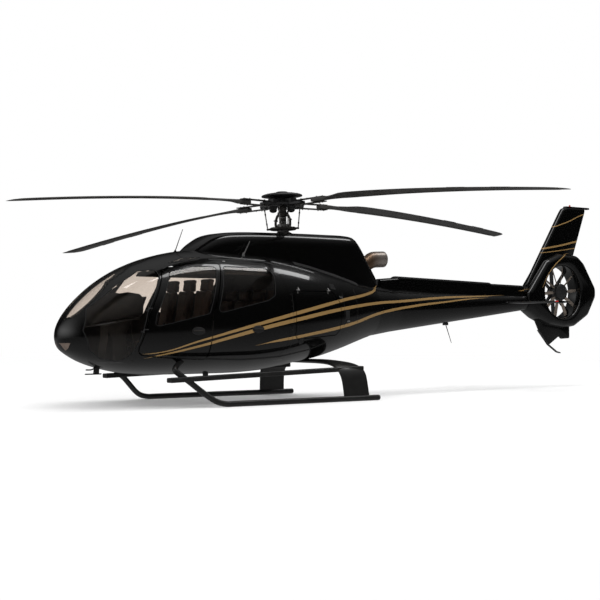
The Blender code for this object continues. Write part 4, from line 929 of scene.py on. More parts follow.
def cover_rows(grow=0.0):
    rows = []
    for x, half, top in SHAFT_COVER:
        base = np.interp(x, [row[0] for row in BOOM[::-1]], [row[3] for row in BOOM[::-1]]) + 0.05
        ring = []
        for k in range(21):
            a = math.pi * k / 20
            z = base if k in (0, 20) else top + grow - 0.08 + 0.08 * math.sin(a) ** 0.5
            ring.append((MAST_X + x, (half + grow) * math.cos(a), z))
        rows.append(ring)
    return np.array(rows)


cover = ringed("shaft_cover_ridge", cover_rows(), gloss_black)
inside = cover_rows(-0.012)
inside[0, :, 0] -= 0.012
inside[-1, :, 0] += 0.012
boolean(cover, "DIFFERENCE", ringed("cover_tunnel", inside))
boolean(cover, "DIFFERENCE", boom_clear)
settled(baked(cover), "airframe", "black_gloss", "driveshaft_cover")

# Fin and duct: one moulding round the tail rotor, thick at its middle and round at its edges, with
# the swept fin above.
DUCT_X, DUCT_Z, DUCT_RADIUS, DUCT_HALF = -6.37, 1.795, 0.49, 0.19
HOUSING = ((-5.462, 1.46), (-5.72, 1.30), (-6.02, 1.18), (-6.42, 1.125), (-6.72, 1.145), (-7.09, 1.35),
           (-7.31, 1.71), (-7.31, 1.88), (-6.98, 2.36), (-6.80, 2.50), (-6.30, 2.53), (-5.95, 2.39),
           (-5.462, 1.78))
FIN = ((-5.50, 1.90), (-6.42, 3.28), (-6.50, 3.39), (-6.62, 3.43), (-7.16, 3.43), (-6.79, 2.48), (-6.40, 2.30),
       (-5.80, 1.80))
HOUSING_EDGE = [(DUCT_HALF, 0.09), (0.178, 0.062), (0.15, 0.030), (0.11, 0.010), (0.05, 0.0)]
FIN_EDGE = [(0.065, 0.05), (0.055, 0.028), (0.03, 0.01), (0.012, 0.003)]
DUCT = moved(MAST_X + DUCT_X, 0, DUCT_Z) @ turned(-math.pi / 2, "X")


def layered_object(name, outline, corner, edge, *finishes):
    """A side-view outline with round corners, drawn in towards its faces by (y, inset) of edge."""
    layers = [(-y, -inset) for y, inset in edge] + [(y, -inset) for y, inset in reversed(edge)]
    rows = [[(MAST_X + x, y, z) for x, z in rounded(offset_outline(outline, out), corner, 5)] for y, out in layers]
    return ringed(name, rows, *finishes)


tail = layered_object("fin_and_duct_moulding", HOUSING, 0.16, HOUSING_EDGE, gloss_black)
boolean(tail, "UNION", layered_object("fin_blade", FIN, 0.05, FIN_EDGE, gloss_black))
fin_cap = Shape(MAST).box((-7.25, -0.045, 3.405), (-6.60, 0.045, 3.44), 0, 0.006).made("fin_cap", gloss_black)
boolean(tail, "UNION", fin_cap)
DUCT_FLARE = ((0, 0.3), (0.535, 0.3), (0.535, 0.19), (0.512, 0.180), (0.497, 0.160), (DUCT_RADIUS, 0.130),
              (DUCT_RADIUS, -0.130), (0.497, -0.160), (0.512, -0.180), (0.535, -0.19), (0.535, -0.3), (0, -0.3))
boolean(tail, "DIFFERENCE", Shape(DUCT).spun(DUCT_FLARE, 0, 96).made("duct_bore"))
settled(baked(tail, math.radians(30)), "airframe", "black_gloss", "fin_and_duct")
for used in ("fin_blade", "fin_cap"):
    bpy.data.objects.remove(bpy.data.objects[used], do_unlink=True)

# Lower fin: a thin plate below the duct, with a sprung steel bumper along its front edge that
# keeps the tail off the ground.
VENTRAL_FIN = ((-5.72, 1.34), (-5.875, 1.07), (-6.14, 0.80), (-6.41, 0.96), (-6.48, 0.91), (-6.70, 0.92),
               (-6.70, 1.20))
BUMPER = ((-5.868, 1.062), (-6.12, 0.80), (-6.36, 0.655), (-6.45, 0.635), (-6.438, 0.657), (-6.348, 0.677),
          (-6.108, 0.822), (-5.856, 1.084))
lower_fin = layered_object("lower_fin", VENTRAL_FIN, 0.03, [(0.022, 0.010), (0.018, 0.003), (0.008, 0.0)],
                           gloss_black)
boolean(lower_fin, "DIFFERENCE", layered_object("housing_clear", offset_outline(HOUSING, 0.001), 0.16, HOUSING_EDGE))
settled(baked(lower_fin), "airframe", "black_satin", "ventral_fin")
bumper = layered_object("tail_bumper_spring", BUMPER, 0.004, [(0.030, 0.003), (0.027, 0.0)], satin_black)
settled(baked(bumper), "airframe", "black_satin")

# Tail rotor: ten twisted blades round a domed hub, on a gearbox that eight fixed vanes hold in the
# middle of the duct. The blades are bare bronze-coloured alloy, the dome black.
def bare_metal(name, metallic, grain_size, detail, dark, light, low, spread):
    """Metal without paint, its tone and polish a little uneven."""
    metal = Recipe(name, metallic=metallic)
    grain = metal.noise(grain_size, detail)
    metal.feed("Base Color", metal.mix(grain, dark, light))
    metal.feed("Roughness", grain * spread + low)
    return metal


bronze_alloy = bare_metal("bronze_alloy", 0.75, 40.0, 3.0, (0.30, 0.245, 0.20), (0.42, 0.36, 0.31), 0.30, 0.25)
TAIL_BLADES = 10
TAIL_PHASE = 0.1
TAIL_SECTIONS = ((0.118, 0.030, 0.020, 34), (0.150, 0.046, 0.016, 32), (0.190, 0.060, 0.012, 30),
                 (0.320, 0.061, 0.010, 26), (0.466, 0.058, 0.008, 22), (0.472, 0.040, 0.003, 22))


def foil(chord, thickness, points=14):
    """An aerofoil section: (along the chord, up), its nose forward."""
    ring = []
    for k in range(points):
        a = 2 * math.pi * k / points
        along = (1 - math.cos(a)) / 2
        up = 0.5 * math.copysign(abs(math.sin(a)) ** 0.9, math.sin(a)) * (1 - 0.8 * along**1.5) * 1.2
        ring.append(((0.35 - along) * chord, up * thickness))
    return ring


tail_rotor = Shape(DUCT)
for turn in spaced(TAIL_BLADES, TAIL_PHASE):
    rows = []
    for radius, chord, thickness, pitch in TAIL_SECTIONS:
        a = math.radians(pitch)
        rows.append([(radius, y * math.cos(a) - z * math.sin(a), 0.06 + y * math.sin(a) + z * math.cos(a))
                     for y, z in foil(chord, thickness)])
    tail_rotor.loft(rows, matrix=turn)
    tail_rotor.rod((0.09, 0, 0.06), (0.128, 0, 0.06), 0.017, 1, 14, matrix=turn)
tail_rotor.spun(((0, 0.17), (0.05, 0.168), (0.09, 0.162), (0.125, 0.150), (0.146, 0.132), (0.154, 0.115),
                 (0.155, 0.03), (0.150, 0.0), (0.045, 0.0), (0.045, -0.0099), (0, -0.0099)), 1, 48)
for turn in spaced(8):
    tail_rotor.spun(((0, 0.172), (0.006, 0.171), (0.007, 0.160), (0, 0.160)), 2, 8, turn @ moved(0.075, 0, -0.003))
settled(tail_rotor.made("tail_rotor_fan", bronze_alloy, satin_black, cast_grey), "tail_rotor_body", "bronze_blade",
        "tail_rotor")
gearbox = Shape(DUCT)
gearbox.spun(((0, -0.0102), (0.05, -0.0102), (0.052, -0.028), (0.115, -0.032), (0.125, -0.045), (0.125, -0.120),
              (0.112, -0.145), (0.085, -0.165), (0.04, -0.17), (0, -0.17)), 0, 40)
for turn in spaced(8, math.pi / 48):
    vane = [[(r, along * 0.18, -0.10 + up) for up, along in foil(0.10, 0.10)] for r in (0.10, 0.4875)]
    gearbox.loft(vane, matrix=turn)
settled(gearbox.made("tail_gearbox_vanes", satin_black), "airframe", "black_satin", "tail_gearbox")

# Main rotor mast and swashplate: a steel mast in its housing, a turning ring on a bearing below,
# four pitch links up to the blade horns, and the scissors that drag the ring round.
dark_steel = bare_metal("oiled_dark_steel", 0.85, 90.0, 4.0, (0.030, 0.028, 0.026), (0.085, 0.080, 0.075), 0.28, 0.3)
bright_steel = bare_metal("bright_steel", 0.95, 120.0, 3.0, (0.42, 0.41, 0.40), (0.60, 0.59, 0.58), 0.18, 0.2)
BLADE_AZIMUTH = 10.8
BLADE_LAG = (3.4, -1.95, -5.24, 3.77)
BLADE_HANG = (0.003, 0.0202, 0.0171, 0.0267)
PLATE_TOP, PLATE_GAP, HORN_DROP = 0.045, 0.031, 0.002
SWASH_LOW, SWASH_HIGH = 2.69 - HUB_Z, 2.74 - HUB_Z


def arm_turn(index, lag=True):
    return turned(math.radians(BLADE_AZIMUTH + 90 * index + (BLADE_LAG[index] if lag else 0.0)))


mast = Shape(ROTOR)
mast.spun(((0, -0.0203), (0.074, -0.0203), (0.075, -0.030), (0.075, -0.075), (0.068, -0.085), (0.062, -0.13),
           (0.058, -0.16), (0.058, -0.42), (0.0575, 2.5003 - HUB_Z), (0, 2.5003 - HUB_Z)), 0, 40)
for z in (-0.20, -0.27):
    mast.spun(((0.0578, z), (0.0615, z - 0.004), (0.0615, z - 0.016), (0.0578, z - 0.02)), 1, 40)
settled(mast.made("rotor_mast_shaft", dark_steel, bright_steel), "main_rotor", "grey_metal", "rotor_mast")

swash = Shape(ROTOR)
swash.spun(((0.0955, SWASH_LOW + 0.003), (0.0975, SWASH_HIGH), (0.150, SWASH_HIGH),
            (0.205, SWASH_HIGH - 0.006), (0.215, SWASH_HIGH - 0.014), (0.215, SWASH_LOW + 0.014),
            (0.205, SWASH_LOW + 0.004), (0.150, SWASH_LOW), (0.0985, SWASH_LOW), (0.0955, SWASH_LOW + 0.003)), 0, 56)
for turn in spaced(24):
    swash.spun(((0, 0.006), (0.006, 0.0055), (0.007, 0.0), (0, 0.0)), 1, 6, turn @ moved(0.185, 0, SWASH_HIGH - 0.004))
link_z = (SWASH_LOW + SWASH_HIGH) / 2
for i in range(4):
    head = arm_turn(i) @ Vector((0.25, 0.15, -PLATE_TOP - 2 * HORN_DROP - 0.0003))
    out = Vector((head.x, head.y, 0)).normalized()
    foot = out * 0.25 + Vector((0, 0, link_z))
    swash.rod(out * 0.19 + Vector((0, 0, link_z)), out * 0.262 + Vector((0, 0, link_z)), 0.016, 0, 16)
    run = (head - foot).normalized()
    swash.rod(foot + run * 0.02, head, 0.0095, 1, 14)
    upright = Vector((0, 0, 1)).rotation_difference(run).to_matrix().to_4x4()
    for ball, size in ((foot, 0.019), (head - run * 0.030, 0.016)):
        swash.spun([(size * math.sin(a), size * math.cos(a)) for a in np.linspace(0, math.pi, 9)], 0, 14,
                   moved(*ball) @ upright)
    for share in (0.25, 0.72):
        swash.spun(((0, 0.014), (0.0135, 0.014), (0.0135, -0.014), (0, -0.014)), 0, 6,
                   moved(*foot.lerp(head, share)) @ upright)
swash.spun(((0.0585, SWASH_HIGH + 0.245), (0.080, SWASH_HIGH + 0.240), (0.083, SWASH_HIGH + 0.200),
            (0.078, SWASH_HIGH + 0.175), (0.0585, SWASH_HIGH + 0.170)), 0, 36)
elbow = SWASH_HIGH + 0.115
for turn in spaced(2, math.radians(100)):
    swash.pipe([(0.070, 0.0, SWASH_HIGH + 0.21), (0.118, 0.0, SWASH_HIGH + 0.185), (0.158, 0.0, elbow)], 0.024, 0, 12,
               5, 0.7, turn)
    swash.pipe([(0.158, 0.0, elbow), (0.163, 0.0, SWASH_HIGH + 0.055), (0.148, 0.0, SWASH_HIGH - 0.004)],
               [0.022, 0.024, 0.028], 0, 12, 5, 0.7, turn)
    swash.rod((0.158, -0.034, elbow), (0.158, 0.034, elbow), 0.015, 1, 14, matrix=turn)
settled(swash.made("swashplate_ring", dark_steel, bright_steel), "main_rotor", "grey_metal", "swashplate")

# Hub: a forged star between upper and lower sleeve plates, with a round elastomer bearing and a
# damper in each arm, and bolts through the plates where they hold the blade.
hub = Shape(ROTOR)
hub.spun(((0, 0.07), (0.115, 0.070), (0.12, 0.064), (0.122, 0.042), (0.135, 0.026), (0.19, 0.020), (0.255, 0.020),
          (0.26, 0.016), (0.26, -0.016), (0.255, -0.020), (0.09, -0.020), (0, -0.020)), 0, 64)
STAR_ARM = ((0.20, -0.105), (0.28, -0.082), (0.40, -0.072), (0.46, -0.050), (0.46, 0.050), (0.40, 0.072),
            (0.28, 0.082), (0.20, 0.105))
SLEEVE = ((0.30, -0.040), (0.34, -0.055), (0.60, -0.050), (0.95, -0.055), (0.95, 0.055), (0.60, 0.050),
          (0.34, 0.055), (0.30, 0.040))
for i in range(4):
    star, arm = arm_turn(i, False), arm_turn(i)
    hub.slab(rounded(STAR_ARM, 0.02, 3), -0.02, 0.02, 0, 0.003, star)
    hub.slab(rounded(((0.06, -0.055), (0.262, -0.070), (0.262, 0.070), (0.06, 0.055)), 0.02, 3), 0.02, 0.088, 0,
             0.008, star)
    hub.slab(rounded(SLEEVE, 0.012, 3), PLATE_GAP, PLATE_TOP, 2, 0.003, arm)
    hub.slab(rounded(SLEEVE, 0.012, 3), -PLATE_TOP, -PLATE_GAP, 2, 0.003, arm)
    spacer = arm @ moved(0.39, 0, 0)
    hub.spun(((0, 0.034), (0.046, 0.034), (0.050, 0.028), (0.046, 0.021), (0.050, 0.014), (0.046, 0.0),
              (0.050, -0.014), (0.046, -0.021), (0.050, -0.028), (0.046, -0.034), (0, -0.034)), 1, 28, spacer)
    horn = ((0.22, 0.175), (0.235, 0.118), (0.30, 0.050), (0.38, 0.045), (0.385, 0.060), (0.335, 0.100), (0.28, 0.175),
            (0.265, 0.182), (0.235, 0.182))
    hub.slab(rounded(horn, 0.008, 2), -PLATE_TOP - HORN_DROP, -PLATE_GAP - 0.001, 0, 0.002, arm)
    bearing = star @ moved(0.205, 0, -0.020)
    hub.spun(((0.0, 0.0), (0.056, 0.0), (0.063, -0.012), (0.064, -0.028), (0.058, -0.040), (0.063, -0.050),
              (0.056, -0.066), (0.042, -0.080), (0.018, -0.088), (0, -0.089)), 1, matrix=bearing)
    hub.spun(((0, 0.052), (0.030, 0.050), (0.046, 0.040), (0.050, 0.020), (0, 0.020)), 0, 28,
             star @ moved(0.205, 0, 0.0))
    for x, y in ((0.33, 0.0), (0.46, 0.030), (0.46, -0.030), (0.56, 0.0), (0.80, 0.028), (0.80, -0.028), (0.90, 0.0)):
        for z, way in ((PLATE_TOP, 1), (-PLATE_TOP, -1)):
            bolt = arm @ moved(x, y, z) @ Matrix.Diagonal((1, 1, way, 1))
            hub.spun(((0, 0.013), (0.0065, 0.013), (0.008, 0.009), (0.0125, 0.008), (0.0125, 0.002), (0.016, 0.002),
                      (0.016, -0.001), (0, -0.001)), 3, 6, bolt)
settled(hub.made("rotor_star_hub", satin_black, rubber, dark_steel, bright_steel), "main_rotor", "black_satin",
        "rotor_hub")
cap = Shape(ROTOR)
cap.spun(((0, 0.214), (0.05, 0.2135), (0.082, 0.211), (0.094, 0.205), (0.100, 0.196), (0.150, 0.189), (0.240, 0.176),
          (0.300, 0.163), (0.324, 0.152), (0.330, 0.143), (0.326, 0.133), (0.300, 0.129), (0.180, 0.114),
          (0.130, 0.105), (0.110, 0.090), (0.100, 0.0703), (0, 0.0703)), 0, 72)
for turn in spaced(12):
    cap.spun(((0, 0.006), (0.006, 0.005), (0.009, 0.0), (0, 0.0)), 1, 8,
             turn @ moved(0.270, 0, 0.1695) @ turned(0.2, "Y"))
settled(cap.made("rotor_cap_disc", satin_black, bright_steel), "main_rotor", "black_satin", "hub_cap")

# Main rotor blades: long composite blades in grey paint, with a steel strip let into the nose,
# trailing edge tabs, and a sleeve of plies at the root.
blade_grey = Recipe("blade_grey_paint", specular_ior_level=0.4)
blade_dust = blade_grey.noise(2.2, 5.0)
blade_grain = blade_grey.noise(500.0, 2.0)
blade_grey.feed("Base Color", blade_grey.mix(((blade_dust - 0.35) * 2.0).clipped(), (0.026, 0.025, 0.024),
                                             (0.046, 0.045, 0.043)))
blade_grey.feed("Roughness", blade_grain * 0.15 + 0.36)
blade_grey.feed("Normal", blade_grey.bump(blade_grain, 0.05, 0.001))
# Columns: radius, chord, thickness, pitch in degrees, sideways shift
BLADE_SECTIONS = (
    (0.74, 0.10, 0.061, 0.0, -0.025),
    (0.965, 0.10, 0.061, 0.0, -0.025),
    (1.12, 0.14, 0.050, 5.0, -0.015),
    (1.45, 0.32, 0.040, 8.5, 0.0),
    (1.90, 0.35, 0.040, 8.0, 0.0),
    (2.60, 0.35, 0.038, 6.5, 0.0),
    (3.40, 0.35, 0.036, 4.5, 0.0),
    (4.30, 0.35, 0.034, 2.5, 0.0),
    (5.10, 0.34, 0.030, 1.0, 0.0),
    (5.275, 0.26, 0.020, 1.0, 0.022),
    (5.32, 0.14, 0.012, 1.0, 0.06),
)
FOIL_POINTS = 26


def blade_point(hang, radius, chord, thickness, pitch, shift, along, up, grow=0.0):
    """A point of a blade at this share of its chord behind the nose."""
    a = math.radians(pitch)
    y = shift + (0.25 - along) * chord
    z = up * thickness + math.copysign(grow, up)
    reach = max(radius - 0.95, 0.0)
    return (radius, y * math.cos(a) + z * math.sin(a),
            z * math.cos(a) - y * math.sin(a) - 0.021 * reach**1.7 - hang * reach)


def blade_section(k, square):
    """Point k round a section: square near the root, where the plates hold it, then an aerofoil."""
    a = 2 * math.pi * k / FOIL_POINTS
    along = (1 - math.cos(a)) / 2
    up = 0.5 * math.copysign(abs(math.sin(a)) ** 0.85, math.sin(a)) * (1.22 - 1.02 * along**1.3)
    box_up = 0.5 * math.copysign(min(abs(math.sin(a)) * 2.2, 1.0), math.sin(a))
    return along, up * (1 - square) + box_up * square


blade_run = []
for before, after in zip(BLADE_SECTIONS, BLADE_SECTIONS[1:]):
    parts = max(int((after[0] - before[0]) / 0.12), 2) if after[0] > 1.0 else 2
    blade_run += [between(BLADE_SECTIONS, before[0] + (after[0] - before[0]) * k / parts) if before[0] >= 0.96
                  else np.array(before) + (np.array(after) - np.array(before)) * k / parts for k in range(parts)]
blade_run.append(np.array(BLADE_SECTIONS[-1]))
for i in range(4):
    rows = []
    for row in blade_run:
        square = float(np.clip((1.25 - row[0]) / 0.3, 0.0, 1.0))
        rows.append([blade_point(BLADE_HANG[i], *row, *blade_section(k, square)) for k in range(FOIL_POINTS)])
    blade = Shape(ROTOR @ arm_turn(i)).loft(rows)
    strip_rows = []
    for row in blade_run:
        if 1.6 < row[0] < 5.2:
            ring = [blade_point(BLADE_HANG[i], *row, *blade_section(k, 0.0), 0.0022) for k in (-5, -3, -1, 0, 1, 3, 5)]
            strip_rows.append([(x, y + 0.0015, z) for x, y, z in ring])
    blade.loft(strip_rows, slot=1)
    for start, end in ((3.55, 3.85), (4.30, 4.60)):
        tab = []
        for radius in (start, end):
            row = between(BLADE_SECTIONS, radius)
            tab.append([blade_point(BLADE_HANG[i], *row, along, up) for along, up in
                        ((0.93, 0.12), (1.05, 0.03), (1.05, -0.03), (0.93, -0.12))])
        blade.loft(tab)
    settled(blade.made(f"rotor_blade_{i + 1}", blade_grey, dark_steel), "main_rotor", "blade_grey",
            f"main_blade_{i + 1}")

# Skids: each one steel tube, bent up to the belly in front, with wear shoes below and a flat step
# board along its inner side. A broad faired strut joins them behind.
SKID_Y, SKID_RADIUS, SKID_END = 1.17, 0.042, -1.04
SKID_LEG = ((2.20, 0.62, 0.69), (2.275, 0.72, 0.655), (2.40, 0.82, 0.61), (2.49, 0.90, 0.56), (2.505, 0.94, 0.52),
            (2.44, 0.975, 0.46), (2.30, 1.005, 0.355), (2.16, 1.06, 0.235), (2.03, 1.12, 0.13), (1.92, 1.155, 0.07),
            *((x, SKID_Y, SKID_RADIUS) for x in (1.78, 1.60, 0.5, SKID_END + 0.02)))
STEP_Y = (0.92, 1.06)
STEP_THICKNESS = 0.068
STEP_BOARD = ((2.64, 0.43), (-0.82, 0.535))
REAR_STRUT = (
    (-0.50, 0.00, 0.600, 0.45, 0.070),
    (-0.50, 0.55, 0.600, 0.47, 0.075),
    (-0.54, 0.82, 0.573, 0.49, 0.075),
    (-0.565, 1.00, 0.510, 0.51, 0.075),
    (-0.575, 1.09, 0.420, 0.51, 0.070),
    (-0.585, 1.13, 0.300, 0.50, 0.065),
    (-0.60, 1.16, 2 * SKID_RADIUS + 0.0003, 0.50, 0.060),
)
GRIP_SECTION = ((-0.008, -0.001), (-0.007, 0.0016), (0.007, 0.0016), (0.008, -0.001))
grip = moulded("step_grip", (0.012, 0.012, 0.012), 0.75, 160.0, 0.9)
gear_paint = moulded("gear_paint", (0.0085, 0.0082, 0.008), 0.30, coat_weight=0.3, coat_roughness=0.15)


def strut_rows(grow=0.0):
    """The strut from skid to skid: an aerofoil bent into an arch."""
    rows = [(x, -y, *rest) for x, y, *rest in reversed(REAR_STRUT[1:])] + list(REAR_STRUT)
    path = [Vector((MAST_X + row[0], row[1], row[2])) for row in rows]
    rings = []
    for i, (x, y, z, chord, thickness) in enumerate(rows):
        run = (path[min(i + 1, len(path) - 1)] - path[max(i - 1, 0)])
        run.x = 0
        run.normalize()
        if i in (0, len(rows) - 1):
            run = Vector((0, 0, 1 if i == 0 else -1))
        up = Vector((0, -run.z, run.y))
        ring = []
        for along, high in foil(chord + 2 * grow, thickness + 2 * grow, 28):
            ring.append(path[i] + Vector((along + 0.15 * chord, 0, 0)) + up * high)
        rings.append(ring)
    smooth = []
    for four in zip([rings[0]] + rings, rings, rings[1:], rings[2:] + [rings[-1]]):
        for k in range(4):
            smooth.append([on_curve(*points, k / 4) for points in zip(*four)])
    return smooth + [rings[-1]]


strut = ringed("rear_strut_arch", strut_rows(), gear_paint)
boolean(strut, "DIFFERENCE", hull_clear)
settled(baked(strut), "airframe", "black_satin", "rear_strut")
strut_clear = ringed("strut_clear", strut_rows(0.0015))
for side_name, side, side_word in SIDES:
    mirror = MAST @ Matrix.Diagonal((1, side, 1, 1))
    leg_rows = eased(SKID_LEG, 5)
    skid = Shape(mirror).loft(swept_rows(leg_rows, [SKID_RADIUS] * len(leg_rows), 28))
    skid.loft(swept_rows([(SKID_END + x, SKID_Y, SKID_RADIUS) for x in (0.022, 0.004, 0.0)],
                         [0.0421, 0.040, 0.030], 28), slot=1)
    for x0, x1 in ((1.55, 0.75), (0.30, -0.20), (-0.35, -0.98)):
        shoe = swept_rows([(x, SKID_Y, SKID_RADIUS) for x in (x0, x0 - 0.01, x1 + 0.01, x1)],
                          [0.0421, 0.0448, 0.0448, 0.0421], 28)
        shoe[:, :, 2] = np.maximum(shoe[:, :, 2], 0.0004)
        skid.loft(shoe, slot=1)
    tube = skid.made(f"skid_tube_{side_name}", gear_paint, satin_black)
    boolean(tube, "DIFFERENCE", hull_clear)
    settled(baked(tube), "airframe", "black_satin", f"skid_{side_name}")
    (x0, z0), (x1, z1) = STEP_BOARD
    board = Shape(mirror)
    low, high = STEP_Y
    ends = []
    for x, z, inset in ((x0, z0, 0.006), (x0 - 0.006, z0 - 0.0002, 0.0), (x1 + 0.006, z1, 0.0), (x1, z1, 0.006)):
        ends.append([(x, low + 0.006, z - inset), (x, high - 0.006, z - inset), (x, high, z - 0.006 - inset),
                     (x, high, z - STEP_THICKNESS + 0.008), (x, high - 0.008, z - STEP_THICKNESS + inset),
                     (x, low + 0.008, z - STEP_THICKNESS + inset), (x, low, z - STEP_THICKNESS + 0.008),
                     (x, low, z - 0.006 - inset)])
    board.loft(ends)
    plank = board.made(f"step_board_shell_{side_name}", gear_paint)
    leg_clear = ringed(f"leg_clear_{side_name}", swept_rows([mirror @ point for point in leg_rows],
                                                            [SKID_RADIUS + 0.0012] * len(leg_rows), 28))
    boolean(plank, "DIFFERENCE", leg_clear)
    boolean(plank, "DIFFERENCE", strut_clear)
    settled(baked(plank), "airframe", "black_satin", f"step_board_{side_name}")
    grips = Shape(mirror)
    for k in range(5):
        y = 0.942 + 0.024 * k
        for start, end in ((2.58, 2.36), (2.22, -0.24)):
            tread = [[(x, y + dy, z0 + (z1 - z0) * (x0 - x) / (x0 - x1) + dz) for dy, dz in GRIP_SECTION]
                     for x in (start, end)]
            grips.loft(tread)
    settled(grips.made(f"step_grip_{side_name}", grip), "airframe", "black_satin")
    feet = Shape(mirror)
    for x in (-0.42, -0.78):
        feet.pipe([(x + 0.03, 1.17, 0.0865), (x, 1.17, 0.0875), (x - 0.03, 1.17, 0.0865)], 0.006, 0, 12, 2)
    settled(feet.made(f"strut_clamps_{side_name}", satin_black), "airframe", "black_satin")

# Cabin lining: the inner faces of the frame and doors are covered in dark brown foam-backed cloth,
# and the floor in cut-pile carpet.
lining = moulded("cabin_lining", (0.022, 0.017, 0.014), 0.8, 260.0, 0.4)
carpet = moulded("cut_pile_carpet", (0.020, 0.017, 0.015), 0.9, 700.0, 0.9)
cabin_panels = ["cabin_frame_shell", "rear_fuselage_shell"]
for side_name, side, side_word in SIDES:
    cabin_panels += [f"{door}_panel_{side_name}" for door in ("front_door", "sliding_door", "baggage_door")]
for name in cabin_panels:
    mesh = bpy.data.objects[name].data
    mesh.materials.append(lining.material)
    for polygon in mesh.polygons:
        spot, way = polygon.center, polygon.normal
        out = Vector((max(spot.x - MAST_X - 2.6, 0.0), spot.y, spot.z - 1.3)).normalized()
        if way.dot(out) < -0.45:
            polygon.material_index = 1
tub_mesh = bpy.data.objects["belly_tub_skin"].data
tub_mesh.materials.append(carpet.material)
for polygon in tub_mesh.polygons:
    if polygon.normal.z > 0.9 and polygon.center.z > TUB_TOP - 0.001:
        polygon.material_index = 1

# Seats: three in front on low pedestals and a row of four behind, each with a cushion, a back and a
# headrest of leather over foam, sewn in bands and blown up as cloth, in a moulded shell.
leather = Recipe("brown_leather_hide", specular_ior_level=0.35)
pores = leather.node("ShaderNodeTexVoronoi", {"feature": "DISTANCE_TO_EDGE"},
                     {"Vector": leather.place, "Scale": 420.0})
hide_tone = leather.noise(9.0, 4.0)
leather.feed("Base Color", leather.mix(hide_tone, (0.026, 0.0148, 0.0095), (0.052, 0.030, 0.0195)))
leather.feed("Roughness", hide_tone * 0.25 + 0.38)
leather.feed("Normal", leather.bump((pores * 8.0).clipped(), 0.25, 0.0008))
FOAM_GRAIN = 0.0095
PAD_PRESSURE = 4.0
PAD_SWELL = 0.024


def blown_pad(name, size, bands, flat_below=None):
    """A pad's mesh round its own middle: a soft box, swelled as cloth, then sewn across in bands."""
    builder = bmesh.new()
    bmesh.ops.create_cube(builder, size=1.0)
    bmesh.ops.scale(builder, vec=size, verts=builder.verts[:])
    bmesh.ops.bevel(builder, geom=builder.edges[:], offset=min(size) * 0.28, segments=3, profile=0.6, affect="EDGES")
    mesh = bpy.data.meshes.new(name)
    builder.to_mesh(mesh)
    builder.free()
    pad = as_object(name, mesh)
    remesh = pad.modifiers.new("foam", "REMESH")
    remesh.mode = "VOXEL"
    remesh.voxel_size = FOAM_GRAIN
    baked(pad)
    cloth = pad.modifiers.new("cover", "CLOTH")
    cloth.settings.use_pressure = True
    cloth.settings.uniform_pressure_force = PAD_PRESSURE
    cloth.settings.effector_weights.gravity = 0.0
    cloth.settings.quality = 4
    cloth.collision_settings.use_collision = False
    start = np.array([vert.co for vert in pad.data.vertices])
    for step in range(1, 16):
        bpy.context.scene.frame_set(step)
    swelled = pad.evaluated_get(bpy.context.evaluated_depsgraph_get())
    move = np.array([vert.co for vert in swelled.data.vertices]) - start
    pad.modifiers.remove(cloth)
    reach = np.linalg.norm(move, axis=1, keepdims=True)
    move *= np.minimum(1.0, PAD_SWELL / np.maximum(reach, 1e-9))
    if flat_below is not None:
        move[:, 2] *= np.where(start[:, 2] < flat_below, 0.1, 1.0)
    pad.data.vertices.foreach_set("co", (start + move).ravel())
    bpy.context.scene.frame_set(1)
    builder = bmesh.new()
    builder.from_mesh(pad.data)
    builder.normal_update()
    for vert in builder.verts:
        depth = sum(math.exp(-((vert.co[axis] - place) / 0.010) ** 2) for axis, place in bands)
        vert.co -= vert.normal * 0.007 * min(depth, 1.0)
    builder.to_mesh(pad.data)
    builder.free()
    result = pad.data.copy()
    bpy.data.objects.remove(pad, do_unlink=True)
    return result


PADS = {
    "cushion": blown_pad("cushion", (0.455, 0.345, 0.095), ((1, -0.115), (1, 0.115), (0, 0.02)), -0.02),
    "back": blown_pad("back", (0.085, 0.335, 0.585), ((1, -0.11), (1, 0.11), (2, 0.06), (2, -0.15))),
    "headrest": blown_pad("headrest", (0.080, 0.270, 0.175), ((2, 0.03),)),
}
